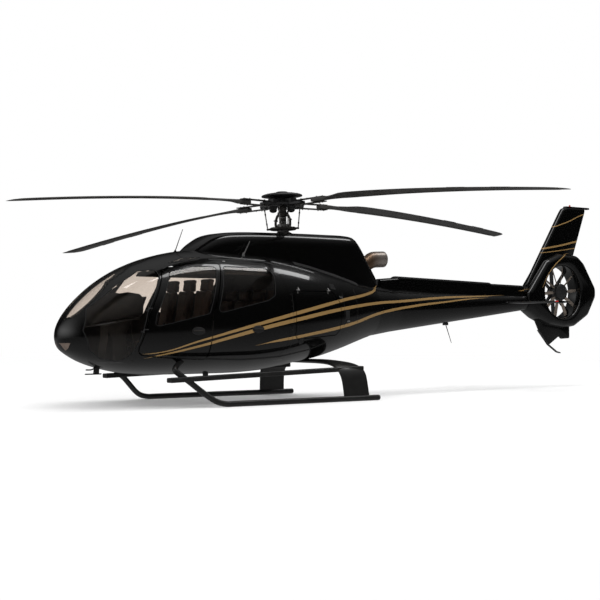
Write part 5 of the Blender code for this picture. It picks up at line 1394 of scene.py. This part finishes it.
# Columns: name, x, y, top of the headrest, width against a front seat
SEATS = [(f"front_seat_{i + 1}", 1.80, y, 1.87, 1.06) for i, y in enumerate((-0.50, 0.0, 0.50))]
SEATS += [(f"rear_seat_{i + 1}", 0.66, y, 1.74, 1.02) for i, y in enumerate((-0.59, -0.197, 0.197, 0.59))]
SEAT_Z = 0.94
STRAP_SECTION = ((0.0, -0.022), (0.003, -0.022), (0.003, 0.022), (0.0, 0.022))
webbing = moulded("harness_webbing", (0.012, 0.011, 0.010), 0.7, 900.0, 0.8)
for name, x, y, top, wide in SEATS:
    back_length = top - 0.160 - (SEAT_Z - 0.02)
    lean = math.atan2(0.135, back_length)
    base = moved(MAST_X + x, y, 0) @ Matrix.Diagonal((1, wide, 1, 1))
    back_at = moved(0.030, 0, SEAT_Z + back_length / 2 - 0.01) @ turned(-lean, "Y")
    placing = {
        "cushion": moved(0.285, 0, SEAT_Z - 0.062),
        "back": back_at @ Matrix.Diagonal((1, 1, back_length / 0.605, 1)),
        "headrest": moved(-0.083, 0, top - 0.100) @ turned(-0.10, "Y"),
    }
    for part, matrix in placing.items():
        mesh = PADS[part].copy()
        mesh.transform(base @ matrix)
        pad = as_object(f"{name}_{part}", mesh, leather)
        for polygon in mesh.polygons:
            polygon.use_smooth = True
        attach(pad, "airframe")
        if part == "cushion":
            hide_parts(*([name] if name.startswith("front") else ["rear_seats"] if name.endswith("1") else []))
    shell = Shape(base)
    rear = back_at @ moved(-0.062, 0, 0)
    shell.box((-0.010, -0.165, -back_length / 2 + 0.01), (0.006, 0.165, back_length / 2 - 0.05), 0, 0.005, rear)
    shell.box((0.05, -0.170, SEAT_Z - 0.135), (0.50, 0.170, SEAT_Z - 0.115), 0, 0.006)
    for post in (-0.06, 0.06):
        shell.rod((-0.085, post, top - 0.30), (-0.078, post, top - 0.10), 0.007, 1, 10)
    if name.startswith("front"):
        shell.box((0.08, -0.150, TUB_TOP + 0.0003), (0.46, 0.150, TUB_TOP + 0.03), 0, 0.006)
        for leg in (-0.11, 0.11):
            for foot in (0.12, 0.40):
                shell.rod((foot, leg, TUB_TOP + 0.02), (foot + 0.03, leg, SEAT_Z - 0.12), 0.016, 1)
        shell.box((0.14, -0.10, TUB_TOP + 0.03), (0.40, 0.10, SEAT_Z - 0.14), 0, 0.01)
    settled(shell.made(f"{name}_shell", dark_trim, dark_steel), "airframe", "dark_trim")
    straps = Shape(base)
    for strap in (-0.085, 0.085):
        belt = eased([(-0.045, strap * 0.55, top - 0.19), (-0.01, strap * 0.8, top - 0.235),
                      (0.060, strap, SEAT_Z + 0.36), (0.098, strap, SEAT_Z + 0.20),
                      (0.135, strap * 0.7, SEAT_Z + 0.09), (0.21, strap * 0.25, SEAT_Z + 0.045)], 5)
        straps.loft([[(spot.x + thick, spot.y + wide, spot.z) for thick, wide in STRAP_SECTION] for spot in belt])
    straps.box((0.185, -0.035, SEAT_Z + 0.036), (0.235, 0.035, SEAT_Z + 0.060), 1, 0.006)
    for way in (-1, 1):
        belt = eased([(0.06, way * 0.170, SEAT_Z - 0.02), (0.12, way * 0.13, SEAT_Z + 0.030),
                      (0.20, way * 0.03, SEAT_Z + 0.048)], 5)
        straps.loft([[(spot.x + wide, spot.y, spot.z + thick) for thick, wide in STRAP_SECTION] for spot in belt])
    settled(straps.made(f"{name}_harness", webbing, dark_steel), "airframe", "dark_trim")
bench = Shape(MAST)
bench.box((0.72, -0.60, TUB_TOP + 0.0003), (1.08, 0.60, SEAT_Z - 0.145), 0, 0.02)
settled(bench.made("rear_bench_box", dark_trim), "airframe", "dark_trim")

# Instrument console: a pedestal between the pedals that widens into a hooded panel, with plain dark
# screens, and a row of knobs and switches below them.
screen_glass = Recipe("screen_glass", base_color=(0.004, 0.005, 0.006), specular_ior_level=0.6, coat_weight=0.5)
screen_glass.feed("Roughness", screen_glass.noise(30.0, 2.0) * 0.06 + 0.06)
CONSOLE = ((2.92, 0.0), (2.92, 0.42), (2.72, 0.80), (2.66, 0.95), (2.80, 1.00), (3.12, 0.88), (3.30, 0.66),
           (3.32, 0.50), (3.16, 0.36), (3.14, 0.0))
CONSOLE_EDGE = [(0.26, 0.035), (0.25, 0.014), (0.225, 0.0)]
console_outline = [(x, TUB_TOP + 0.0003 + z) for x, z in CONSOLE]
console = layered_object("console_pedestal", console_outline, 0.05, CONSOLE_EDGE, dark_trim)
settled(baked(console), "airframe", "dark_trim", "instrument_panel")
# Rows from back to front. Columns: x, half width, lowest z, highest z, roundness
HOOD = ((2.71, 0.36, 1.30, 1.590, 5.0), (2.74, 0.39, 1.28, 1.640, 4.5), (2.88, 0.43, 1.26, 1.660, 3.8),
        (3.03, 0.455, 1.24, 1.635, 3.2), (3.20, 0.45, 1.20, 1.565, 2.8), (3.36, 0.415, 1.16, 1.455, 2.6),
        (3.50, 0.34, 1.13, 1.290, 2.4), (3.58, 0.24, 1.11, 1.170, 2.2))
hood_rows = []
for x, half, low, high, power in HOOD:
    ring = []
    for k in range(28):
        turn = 2 * math.pi * k / 28
        across, up = (math.copysign(abs(v) ** (2 / power), v) for v in (math.cos(turn), math.sin(turn)))
        notch = 0.035 * math.exp(-(across * half / 0.10) ** 2) if up > 0 else 0.0
        ring.append((x, across * half, (low + high) / 2 + up * (high - low) / 2 - notch))
    hood_rows.append(ring)
hood = Shape(MAST)
hood.loft(hood_rows)
hood.loft([[(x, y, z) for y, z in ((-0.30, 0.70), (0.30, 0.70), (0.40, 1.00), (0.40, 1.20), (-0.40, 1.20),
                                   (-0.40, 1.00))] for x in (3.30, 3.42)])
for way in (1, -1):
    hood.pipe([(3.728, way * 0.33, 1.138), (3.45, way * 0.56, 1.190), (3.145, way * 0.715, 1.250),
               (2.99, way * 0.755, 1.275)], 0.014, 0, 12, 5)
settled(hood.made("console_hood", dark_trim), "airframe", "dark_trim")


def facing(low, high, middle):
    """Axes on the console's rear face, from two places (x, z) on it: y up the face, z out of it."""
    up = Vector((high[0] - low[0], 0, high[1] - low[1])).normalized()
    out = Vector((-up.z, 0, up.x))
    return Matrix(((0, up.x, out.x, MAST_X + middle[0]), (1, 0, 0, 0), (0, up.z, out.z, TUB_TOP + middle[1]),
                   (0, 0, 0, 1)))


dials = Shape(facing((2.72, 0.80), (2.66, 0.95), (2.68, 0.875)))
dials.box((-0.33, -0.085, 0.002), (0.33, 0.085, 0.012), 0, 0.008)
for centre in (-0.17, 0.17):
    dials.box((centre - 0.125, -0.070, 0.012), (centre + 0.125, 0.070, 0.018), 0, 0.004)
    dials.box((centre - 0.112, -0.058, 0.018), (centre + 0.112, 0.058, 0.0195), 1, 0.001)
    for x in centre + np.arange(-0.10, 0.11, 0.04):
        dials.box((x - 0.009, -0.069, 0.018), (x + 0.009, -0.061, 0.021), 2, 0.001)
for y in (-0.05, 0.0, 0.05):
    dials.spun(((0, 0.004), (0.016, 0.004), (0.020, 0.002), (0.020, 0), (0, 0)), 1, 20, moved(0.0, y, 0.012))
dials.base = facing((2.92, 0.42), (2.72, 0.80), (2.82, 0.61))
for y in (-0.17, -0.085, 0.0, 0.085):
    dials.box((-0.075, y, 0.002), (0.075, y + 0.075, 0.010), 0, 0.003)
    dials.box((-0.045, y + 0.02, 0.010), (0.045, y + 0.055, 0.0115), 1, 0.001)
    for x in (-0.062, 0.062):
        dials.spun(((0, 0.018), (0.007, 0.018), (0.008, 0.010), (0, 0.010)), 2, 14, moved(x, y + 0.038, 0.0))
settled(dials.made("console_instruments", dark_trim, screen_glass, satin_black), "airframe", "dark_trim")

# Headlining: a padded ceiling under the roof, covered in the lining's cloth and turned down at its
# sides over the door tops.
ceiling = Shape(MAST)
sections = []
for x in np.linspace(0.50, 2.30, 14):
    half = skin_y(x, 1.93) - 0.055
    ring = [(half, 1.925), (half - 0.10, 1.955), (half - 0.20, 1.985), (0.0, 2.00), (-half + 0.20, 1.985),
            (-half + 0.10, 1.955), (-half, 1.925), (-half + 0.012, 1.945), (-half + 0.16, 2.03), (0.0, 2.04),
            (half - 0.16, 2.03), (half - 0.012, 1.945)]
    sections.append([(x, y, z) for y, z in ring])
ceiling.loft(sections)
settled(ceiling.made("headlining", lining), "airframe", "dark_trim")

# Flight controls: a curved cyclic stick in front of each outer seat, a collective lever at its side,
# and a pair of pedals on the floor.
controls = Shape()
for y in (-0.50, 0.50):
    controls.base = moved(MAST_X, y, TUB_TOP)
    controls.pipe([(2.52, 0, 0.0), (2.50, 0, 0.10), (2.42, 0, 0.24), (2.44, 0, 0.36), (2.46, 0, 0.42)], 0.013, 1)
    controls.pipe([(2.46, 0, 0.41), (2.465, 0, 0.46), (2.455, 0, 0.53), (2.44, 0, 0.565)],
                  [0.019, 0.021, 0.021, 0.014], 0, 14, 5)
    controls.spun(((0.030, 0.010), (0.045, 0.004), (0.050, 0.0), (0, 0.0)), 0, 20, moved(2.52, 0, 0.0005))
    controls.box((1.90, -0.250, 0.0003), (1.98, -0.200, 0.075), 0, 0.006)
    controls.pipe([(1.94, -0.225, 0.06), (2.05, -0.225, 0.14), (2.15, -0.225, 0.20), (2.30, -0.225, 0.27)], 0.011, 1,
                  12, 4)
    controls.pipe([(2.28, -0.225, 0.262), (2.40, -0.225, 0.315)], [0.019, 0.019], 0, 14, 2)
    for foot in (-0.10, 0.10):
        controls.pipe([(3.02, foot, 0.02), (3.00, foot, 0.12), (2.97, foot, 0.18)], 0.009, 1, 10, 4)
        controls.box((2.955, foot - 0.045, 0.14), (2.972, foot + 0.045, 0.235), 0, 0.005)
settled(controls.made("flight_controls", satin_black, dark_steel), "airframe", "dark_trim")

# Pane seals and panel joints: black rubber lies round each side pane, and the skirt and the door
# rail are shallow dark grooves.
def on_skin(x, z, side, out):
    """A place on the fuselage's side, so far off it, with the skin's outward direction."""
    y = skin_y(x, z)
    way = Vector((-(skin_y(x + 0.01, z) - skin_y(x - 0.01, z)) / 0.02, 1.0,
                  -(skin_y(x, z + 0.01) - skin_y(x, z - 0.01)) / 0.02)).normalized()
    spot = Vector((MAST_X + x, y, z)) + way * out
    return Vector((spot.x, side * spot.y, spot.z)), Vector((way.x, side * way.y, way.z))


def skin_frame(x, z, side):
    """Axes for a fitting on the skin: x along the fuselage, y up the skin, z outwards."""
    spot, way = on_skin(x, z, side, 0.0)
    along = Vector((1, 0, 0)) - way * way.x
    along.normalize()
    up = way.cross(along)
    axes = Matrix((along, up, way)).transposed().to_4x4()
    axes.translation = spot
    return axes


def skin_strip(shape, path, side, width, low, high, closed=False):
    """A flat strip along the skin, through places (x, z), between two heights over it."""
    path = [Vector(point) for point in path]
    count = len(path)
    rows = []
    for i in range(count + (1 if closed else 0)):
        here = path[i % count]
        ahead = path[(i + 1) % count] if closed or i < count - 1 else here
        behind = path[(i - 1) % count] if closed or i > 0 else here
        step = (ahead - behind).normalized()
        across = Vector((-step.y, step.x)) * width / 2
        ring = []
        for sign, out in ((1, low), (1, high * 0.6), (0.6, high), (-0.6, high), (-1, high * 0.6), (-1, low)):
            place = here + across * sign
            ring.append(tuple(on_skin(place.x, place.y, side, out)[0]))
        rows.append(ring)
    shape.loft(rows, caps=not closed)


def dense(points, spacing=0.05, closed=False):
    """A line through places (x, z) with points closer than this."""
    ends = list(points) + ([points[0]] if closed else [])
    out = []
    for (x0, z0), (x1, z1) in zip(ends, ends[1:]):
        parts = max(1, int(math.hypot(x1 - x0, z1 - z0) / spacing))
        out += [(x0 + (x1 - x0) * k / parts, z0 + (z1 - z0) * k / parts) for k in range(parts)]
    return out if closed else out + [ends[-1]]


SEALED = (("side_bubble", "airframe"), ("front_window", "front_door"), ("sliding_window", "airframe"))
SKIRT = ((2.62, 0.742), (2.40, 0.715), (2.00, 0.690), (1.30, 0.665), (0.60, 0.700), (0.00, 0.800), (-0.30, 0.900))
for side_name, side, side_word in SIDES:
    for name, body in SEALED:
        outline, radius = OPENINGS[name][:2]
        seal = Shape()
        skin_strip(seal, dense(rounded(outline, radius), closed=True), side, 0.010, -0.004, 0.0016, closed=True)
        settled(seal.made(f"{name}_seal_{side_name}", rubber),
                f"{side_word}_{body}" if body != "airframe" else body, "dark_trim")
    groove = Shape()
    skin_strip(groove, dense(SKIRT, 0.06), side, 0.022, -0.004, 0.0015)
    skin_strip(groove, dense(((1.735, 2.150), (1.30, 2.158), (0.80, 2.148), (0.52, 2.085))), side, 0.020, -0.004, 0.003)
    settled(groove.made(f"skirt_and_rail_{side_name}", rubber), "airframe", "dark_trim")

# Hinges: each door turns on two short steel knuckles at its edge, one on the frame and one on the
# door, each forged with its arm and riveted on.
FRONT_PINS = (Vector((2.965, 0.850, 1.10)), Vector((2.890, 0.836, 1.40)))
TOP_PINS = [Vector((x, skin_y(x, 1.712) + 0.012, 1.712)) for x in (0.33, -0.33)]
# Columns: door, pins, way along them, where an arm ends from its pin (-1 the frame's, 1 the door's), finish
HINGES = (
    ("front_door", FRONT_PINS, FRONT_PINS[1] - FRONT_PINS[0], {-1: (0.035, -0.015), 1: (-0.070, 0.015)}, satin_black),
    ("baggage_door", TOP_PINS, TOP_PINS[0] - TOP_PINS[1], {-1: (-0.015, 0.042), 1: (0.015, -0.050)}, bright_steel),
)
for side_name, side, side_word in SIDES:
    flip = Matrix.Diagonal((1, side, 1, 1)) @ MAST
    for door, pins, run, feet, finish in HINGES:
        for part, way in (("frame", -1), ("door", 1)):
            knuckle = Shape(flip)
            for pin in pins:
                near, far = (pin + run.normalized() * way * reach for reach in (0.00015, 0.030))
                knuckle.rod(near, far, 0.010, 0, 20)
                foot = Vector((pin.x + feet[way][0], 0, pin.z + feet[way][1]))
                foot.y = skin_y(foot.x, foot.z) - 0.001
                middle = (near + far) / 2
                knuckle.pipe([middle, (middle + foot) / 2, foot], [0.008, 0.007, 0.008], 0, 14, 4, 0.6)
            settled(knuckle.made(f"{door}_{part}_hinge_{side_name}", finish),
                    "airframe" if part == "frame" else f"{side_word}_{door}", "black_satin")

# Handles, latches and hatches: oval dished handles with a pull bar, flush latches, a small hatch,
# a barred air intake and the fuel cap with its tab, between seams down to the skirt.
for side_name, side, side_word in SIDES:
    for name, x, z, body in (("front", 2.158, 1.093, f"{side_word}_front_door"), ("sliding", 1.138, 1.115, "airframe")):
        dish = Shape(skin_frame(x, z, side))
        oval = [(0.105 * math.cos(a), 0.058 * math.sin(a)) for a in np.arange(40) * math.pi / 20]
        rows = [[(u * s, v * s, h) for u, v in oval] for s, h in
                ((1.0, -0.004), (1.0, 0.003), (0.95, 0.005), (0.88, 0.004), (0.80, 0.0008), (0.4, 0.0004))]
        dish.loft(rows)
        dish.pipe([(0.95 * u, 0.95 * v, 0.004) for u, v in oval + oval[:1]], 0.003, 1, 8, 1)
        dish.box((-0.080, -0.013, 0.001), (0.080, 0.010, 0.012), 1, 0.004)
        dish.rod((0.055, -0.030, 0.0), (0.055, -0.030, 0.006), 0.009, 1, 16)
        settled(dish.made(f"{name}_handle_{side_name}", satin_black, dark_steel), body, "black_satin")
    bits = Shape()
    for x, z, long, tall in ((-0.609, 1.615, 0.075, 0.030), (-0.756, 1.236, 0.065, 0.028), (1.504, 2.128, 0.05, 0.018)):
        bits.base = skin_frame(x, z, side)
        bits.box((-long / 2, -tall / 2, -0.004), (long / 2, tall / 2, 0.004), 1, 0.0015)
        bits.rod((long * 0.25, 0, 0.003), (long * 0.25, 0, 0.0055), 0.006, 0, 14)
    bits.base = skin_frame(-0.734, 1.336, side)
    bits.box((-0.052, -0.072, -0.006), (0.052, 0.072, 0.0020), 2, 0.001)
    bits.base = skin_frame(-0.461, 1.781, side)
    bits.box((-0.060, -0.050, -0.006), (0.060, 0.050, 0.0020), 2, 0.001)
    for k in range(5):
        bits.box((-0.055, -0.041 + 0.0195 * k, 0.001), (0.055, -0.035 + 0.0195 * k, 0.006), 0, 0.001)
    bits.base = skin_frame(0.276, 0.934, side)
    bits.spun(((0.056, -0.004), (0.056, 0.004), (0.050, 0.007), (0.047, 0.003), (0.040, 0.003), (0.036, 0.010),
               (0.0, 0.011)), 0, 36)
    bits.box((-0.034, -0.007, 0.008), (0.034, 0.007, 0.020), 0, 0.003)
    settled(bits.made(f"side_fittings_{side_name}", satin_black, bright_steel, rubber), "airframe", "black_satin")
    seams = Shape()
    for x, high, low in ((-1.00, 1.76, 1.08), (-0.66, 1.70, 1.02), (0.47, 1.66, 0.82)):
        skin_strip(seams, dense(((x, high), (x, low))), side, 0.005, -0.003, 0.0007)
    settled(seams.made(f"panel_seams_{side_name}", rubber), "airframe", "dark_trim")

# Lamps: a frosted landing light lens let into each side of the chin, coloured lamps on the
# stabilizer's tips and a red beacon on the fin.
lamp_lens = Recipe("frosted_lens", specular_ior_level=0.5, coat_weight=0.4)
lamp_lens.feed("Base Color", lamp_lens.mix(lamp_lens.noise(14.0), (0.065, 0.048, 0.039), (0.15, 0.115, 0.095)))
lamp_lens.feed("Roughness", lamp_lens.noise(90.0) * 0.10 + 0.05)
coloured = {}
for word, colour in (("red", (0.42, 0.010, 0.008)), ("green", (0.008, 0.24, 0.05))):
    lens = Recipe(f"{word}_lens", coat_weight=0.6)
    ribs = lens.parts(lens.place)[2].math("MULTIPLY", 900.0).math("SINE")
    lens.feed("Base Color", lens.mix(ribs * 0.5 + 0.5, colour, tuple(c * 0.55 for c in colour)))
    lens.feed("Roughness", ribs * 0.06 + 0.16)
    coloured[word] = lens
chin = Shape()
chin_rows = []
for x in np.linspace(3.81, 3.884, 9):
    high = 0.925
    low = min(station(x)[1] + 0.016, high - 0.006)
    ring = [tuple(on_skin(x, z, 1, 0.0025)[0]) for z in np.linspace(low, high, 7)]
    chin_rows.append(ring + [tuple(on_skin(x, z, 1, -0.004)[0]) for z in np.linspace(high, low, 7)])
for side in (1, -1):
    chin.loft([[(x, side * y, z) for x, y, z in ring] for ring in chin_rows])
settled(chin.made("landing_light_lens", lamp_lens), "airframe", "grey_metal")
for side, word in ((1, "red"), (-1, "green")):
    lamp = Shape(MAST)
    lamp.pipe([(-4.83, side * 1.366, 1.588), (-4.86, side * 1.375, 1.588), (-4.90, side * 1.375, 1.588),
               (-4.93, side * 1.366, 1.588)], [0.003, 0.012, 0.012, 0.003], 0, 16, 5)
    settled(lamp.made(f"{word}_tip_lamp", coloured[word]), "airframe", "dark_trim")
beacon = Shape(MAST)
beacon.spun(((0.017, -0.01), (0.017, 0.025), (0.015, 0.040), (0.008, 0.048), (0, 0.049)), 0, 20,
            moved(-6.74, 0, 3.425))
settled(beacon.made("fin_beacon", coloured["red"]), "airframe", "dark_trim")

# Aerials and the small gear under the belly: whips on moulded feet, an air speed probe and the
# cable cutter's blade under the chin, and a drain boss.
aerial = Shape(MAST)
aerial.spun(((0.022, 0.0), (0.020, 0.012), (0.008, 0.030), (0.0, 0.032)), 0, 18, moved(2.03, 0.10, 2.275))
aerial.rod((2.03, 0.10, 2.29), (1.90, 0.10, 2.62), 0.008, 2, 8, 0.005)
aerial.spun(((0.024, 0.0), (0.021, 0.020), (0.010, 0.060), (0.0, 0.062)), 3, 18, moved(1.07, 0.50, 2.220))
aerial.rod((1.07, 0.50, 2.24), (0.95, 0.50, 2.46), 0.011, 3, 8, 0.005)
aerial.rod((-3.52, 0.0, 1.20), (-3.66, 0.0, 0.86), 0.008, 0, 8, 0.005)
aerial.box((-3.58, -0.014, 1.17), (-3.46, 0.014, 1.22), 0, 0.004)
aerial.slab([(-0.04, 0.465), (0.05, 0.475), (0.04, 0.545), (0.06, 0.62), (-0.05, 0.60)], -0.010, 0.010, 0, 0.003,
            moved(3.28, 0, 0) @ turned(math.pi / 2, "X"))
aerial.box((3.20, -0.014, 0.462), (3.46, 0.014, 0.480), 0, 0.004)
aerial.pipe([(3.30, 0.02, 0.56), (3.38, 0.03, 0.535), (3.46, 0.03, 0.535)], 0.010, 0, 12, 5)
aerial.spun(((0.045, 0.02), (0.040, -0.03), (0.020, -0.06), (0.0, -0.062)), 0, 20, moved(1.62, 0.30, 0.44))
settled(aerial.made("aerials_and_probes", satin_black, dark_steel, dark_trim, bright_steel), "airframe", "black_satin")

# Screws: small domed steel heads in rows along the panel joints, the skirt and the boom's flange.
# One node tree sets a head on each point of a row, turned to the skin.
SCREW_ROWS = bpy.data.node_groups.new("screw_rows", "GeometryNodeTree")
for label, kind in (("Geometry", "Geometry"), ("Radius", "Float"), ("Height", "Float"), ("Finish", "Material")):
    SCREW_ROWS.interface.new_socket(label, in_out="INPUT", socket_type=f"NodeSocket{kind}")
SCREW_ROWS.interface.new_socket("Geometry", in_out="OUTPUT", socket_type="NodeSocketGeometry")
steps = {word: SCREW_ROWS.nodes.new(kind) for word, kind in (
    ("in", "NodeGroupInput"), ("out", "NodeGroupOutput"), ("head", "GeometryNodeMeshCone"), ("crown", "ShaderNodeMath"),
    ("way", "GeometryNodeInputNamedAttribute"), ("turn", "FunctionNodeAlignRotationToVector"),
    ("place", "GeometryNodeInstanceOnPoints"), ("solid", "GeometryNodeRealizeInstances"),
    ("finish", "GeometryNodeSetMaterial"))}
steps["head"].inputs["Vertices"].default_value = 8
steps["crown"].operation = "MULTIPLY"
steps["crown"].inputs[1].default_value = 0.55
steps["way"].data_type = "FLOAT_VECTOR"
steps["way"].inputs["Name"].default_value = "outwards"
for start, output, end, socket in (
        ("in", "Radius", "crown", 0), ("crown", "Value", "head", "Radius Top"),
        ("in", "Radius", "head", "Radius Bottom"), ("in", "Height", "head", "Depth"),
        ("way", "Attribute", "turn", "Vector"), ("in", "Geometry", "place", "Points"),
        ("head", "Mesh", "place", "Instance"), ("turn", "Rotation", "place", "Rotation"),
        ("place", "Instances", "solid", "Geometry"), ("solid", "Geometry", "finish", "Geometry"),
        ("in", "Finish", "finish", "Material"), ("finish", "Geometry", "out", "Geometry")):
    SCREW_ROWS.links.new(steps[start].outputs[output], steps[end].inputs[socket])


def screwed(name, spots, radius, height, finish):
    """Screw heads at these places, each with the skin's outward direction."""
    mesh = bpy.data.meshes.new(f"{name}_rows")
    mesh.from_pydata([place for place, way in spots], [], [])
    outwards = mesh.attributes.new("outwards", "FLOAT_VECTOR", "POINT")
    outwards.data.foreach_set("vector", [value for place, way in spots for value in way])
    holder = as_object(f"{name}_rows", mesh)
    rows = holder.modifiers.new("screws", "NODES")
    rows.node_group = SCREW_ROWS
    sockets = {item.name: item.identifier for item in SCREW_ROWS.interface.items_tree if item.in_out == "INPUT"}
    for label, value in (("Radius", radius), ("Height", height), ("Finish", finish.material)):
        rows[sockets[label]] = value
    heads = bpy.data.meshes.new_from_object(holder.evaluated_get(bpy.context.evaluated_depsgraph_get()))
    bpy.data.objects.remove(holder, do_unlink=True)
    return as_object(name, heads, finish)


joint_rows = []
for k in range(40):
    a = 2 * math.pi * (k + 0.5) / 40
    way = Vector((-0.18, math.cos(a), math.sin(a))).normalized()
    joint_rows.append(((MAST_X - 1.715, 0.4685 * math.cos(a), 1.4268 + 0.4405 * math.sin(a)), way))
for side in (1, -1):
    for path, spacing in ((((-0.975, 1.72), (-0.975, 1.10)), 0.07), (((0.495, 1.64), (0.495, 0.84)), 0.08),
                          ([(x, z + 0.03) for x, z in SKIRT], 0.11), (((1.70, 2.172), (0.85, 2.172)), 0.10)):
        joint_rows += [tuple(on_skin(x, z, side, 0.0002)) for x, z in dense(path, spacing)]
settled(screwed("joint_screws", joint_rows, 0.0055, 0.0022, dark_steel), "airframe", "grey_metal")

# Shoulder vents: a band of pressed louvres on each shoulder beside the cowling, over a dark strip,
# to let air out of the engine bay.
SHOULDER = ((0.13, 2.154), (-0.20, 2.096), (-0.50, 2.020), (-0.85, 1.938), (-1.193, 1.844))
for side_name, side, side_word in SIDES:
    vents = Shape()
    skin_strip(vents, dense(SHOULDER), side, 0.070, -0.004, 0.003)
    for x, z in dense(SHOULDER, 0.042)[1:-1]:
        vents.box((-0.006, -0.026, 0.002), (0.010, 0.026, 0.009), 1, matrix=skin_frame(x, z, side))
    settled(vents.made(f"shoulder_vents_{side_name}", rubber, satin_black), "airframe", "dark_trim")

# Cutters: the outlines, blocks and hollows that cut the openings are no part of the aircraft, so they go.
for leftover in [item for item in bpy.data.objects if item.type == "MESH" and not item.data.materials]:
    if leftover.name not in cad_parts:
        bpy.data.objects.remove(leftover, do_unlink=True)
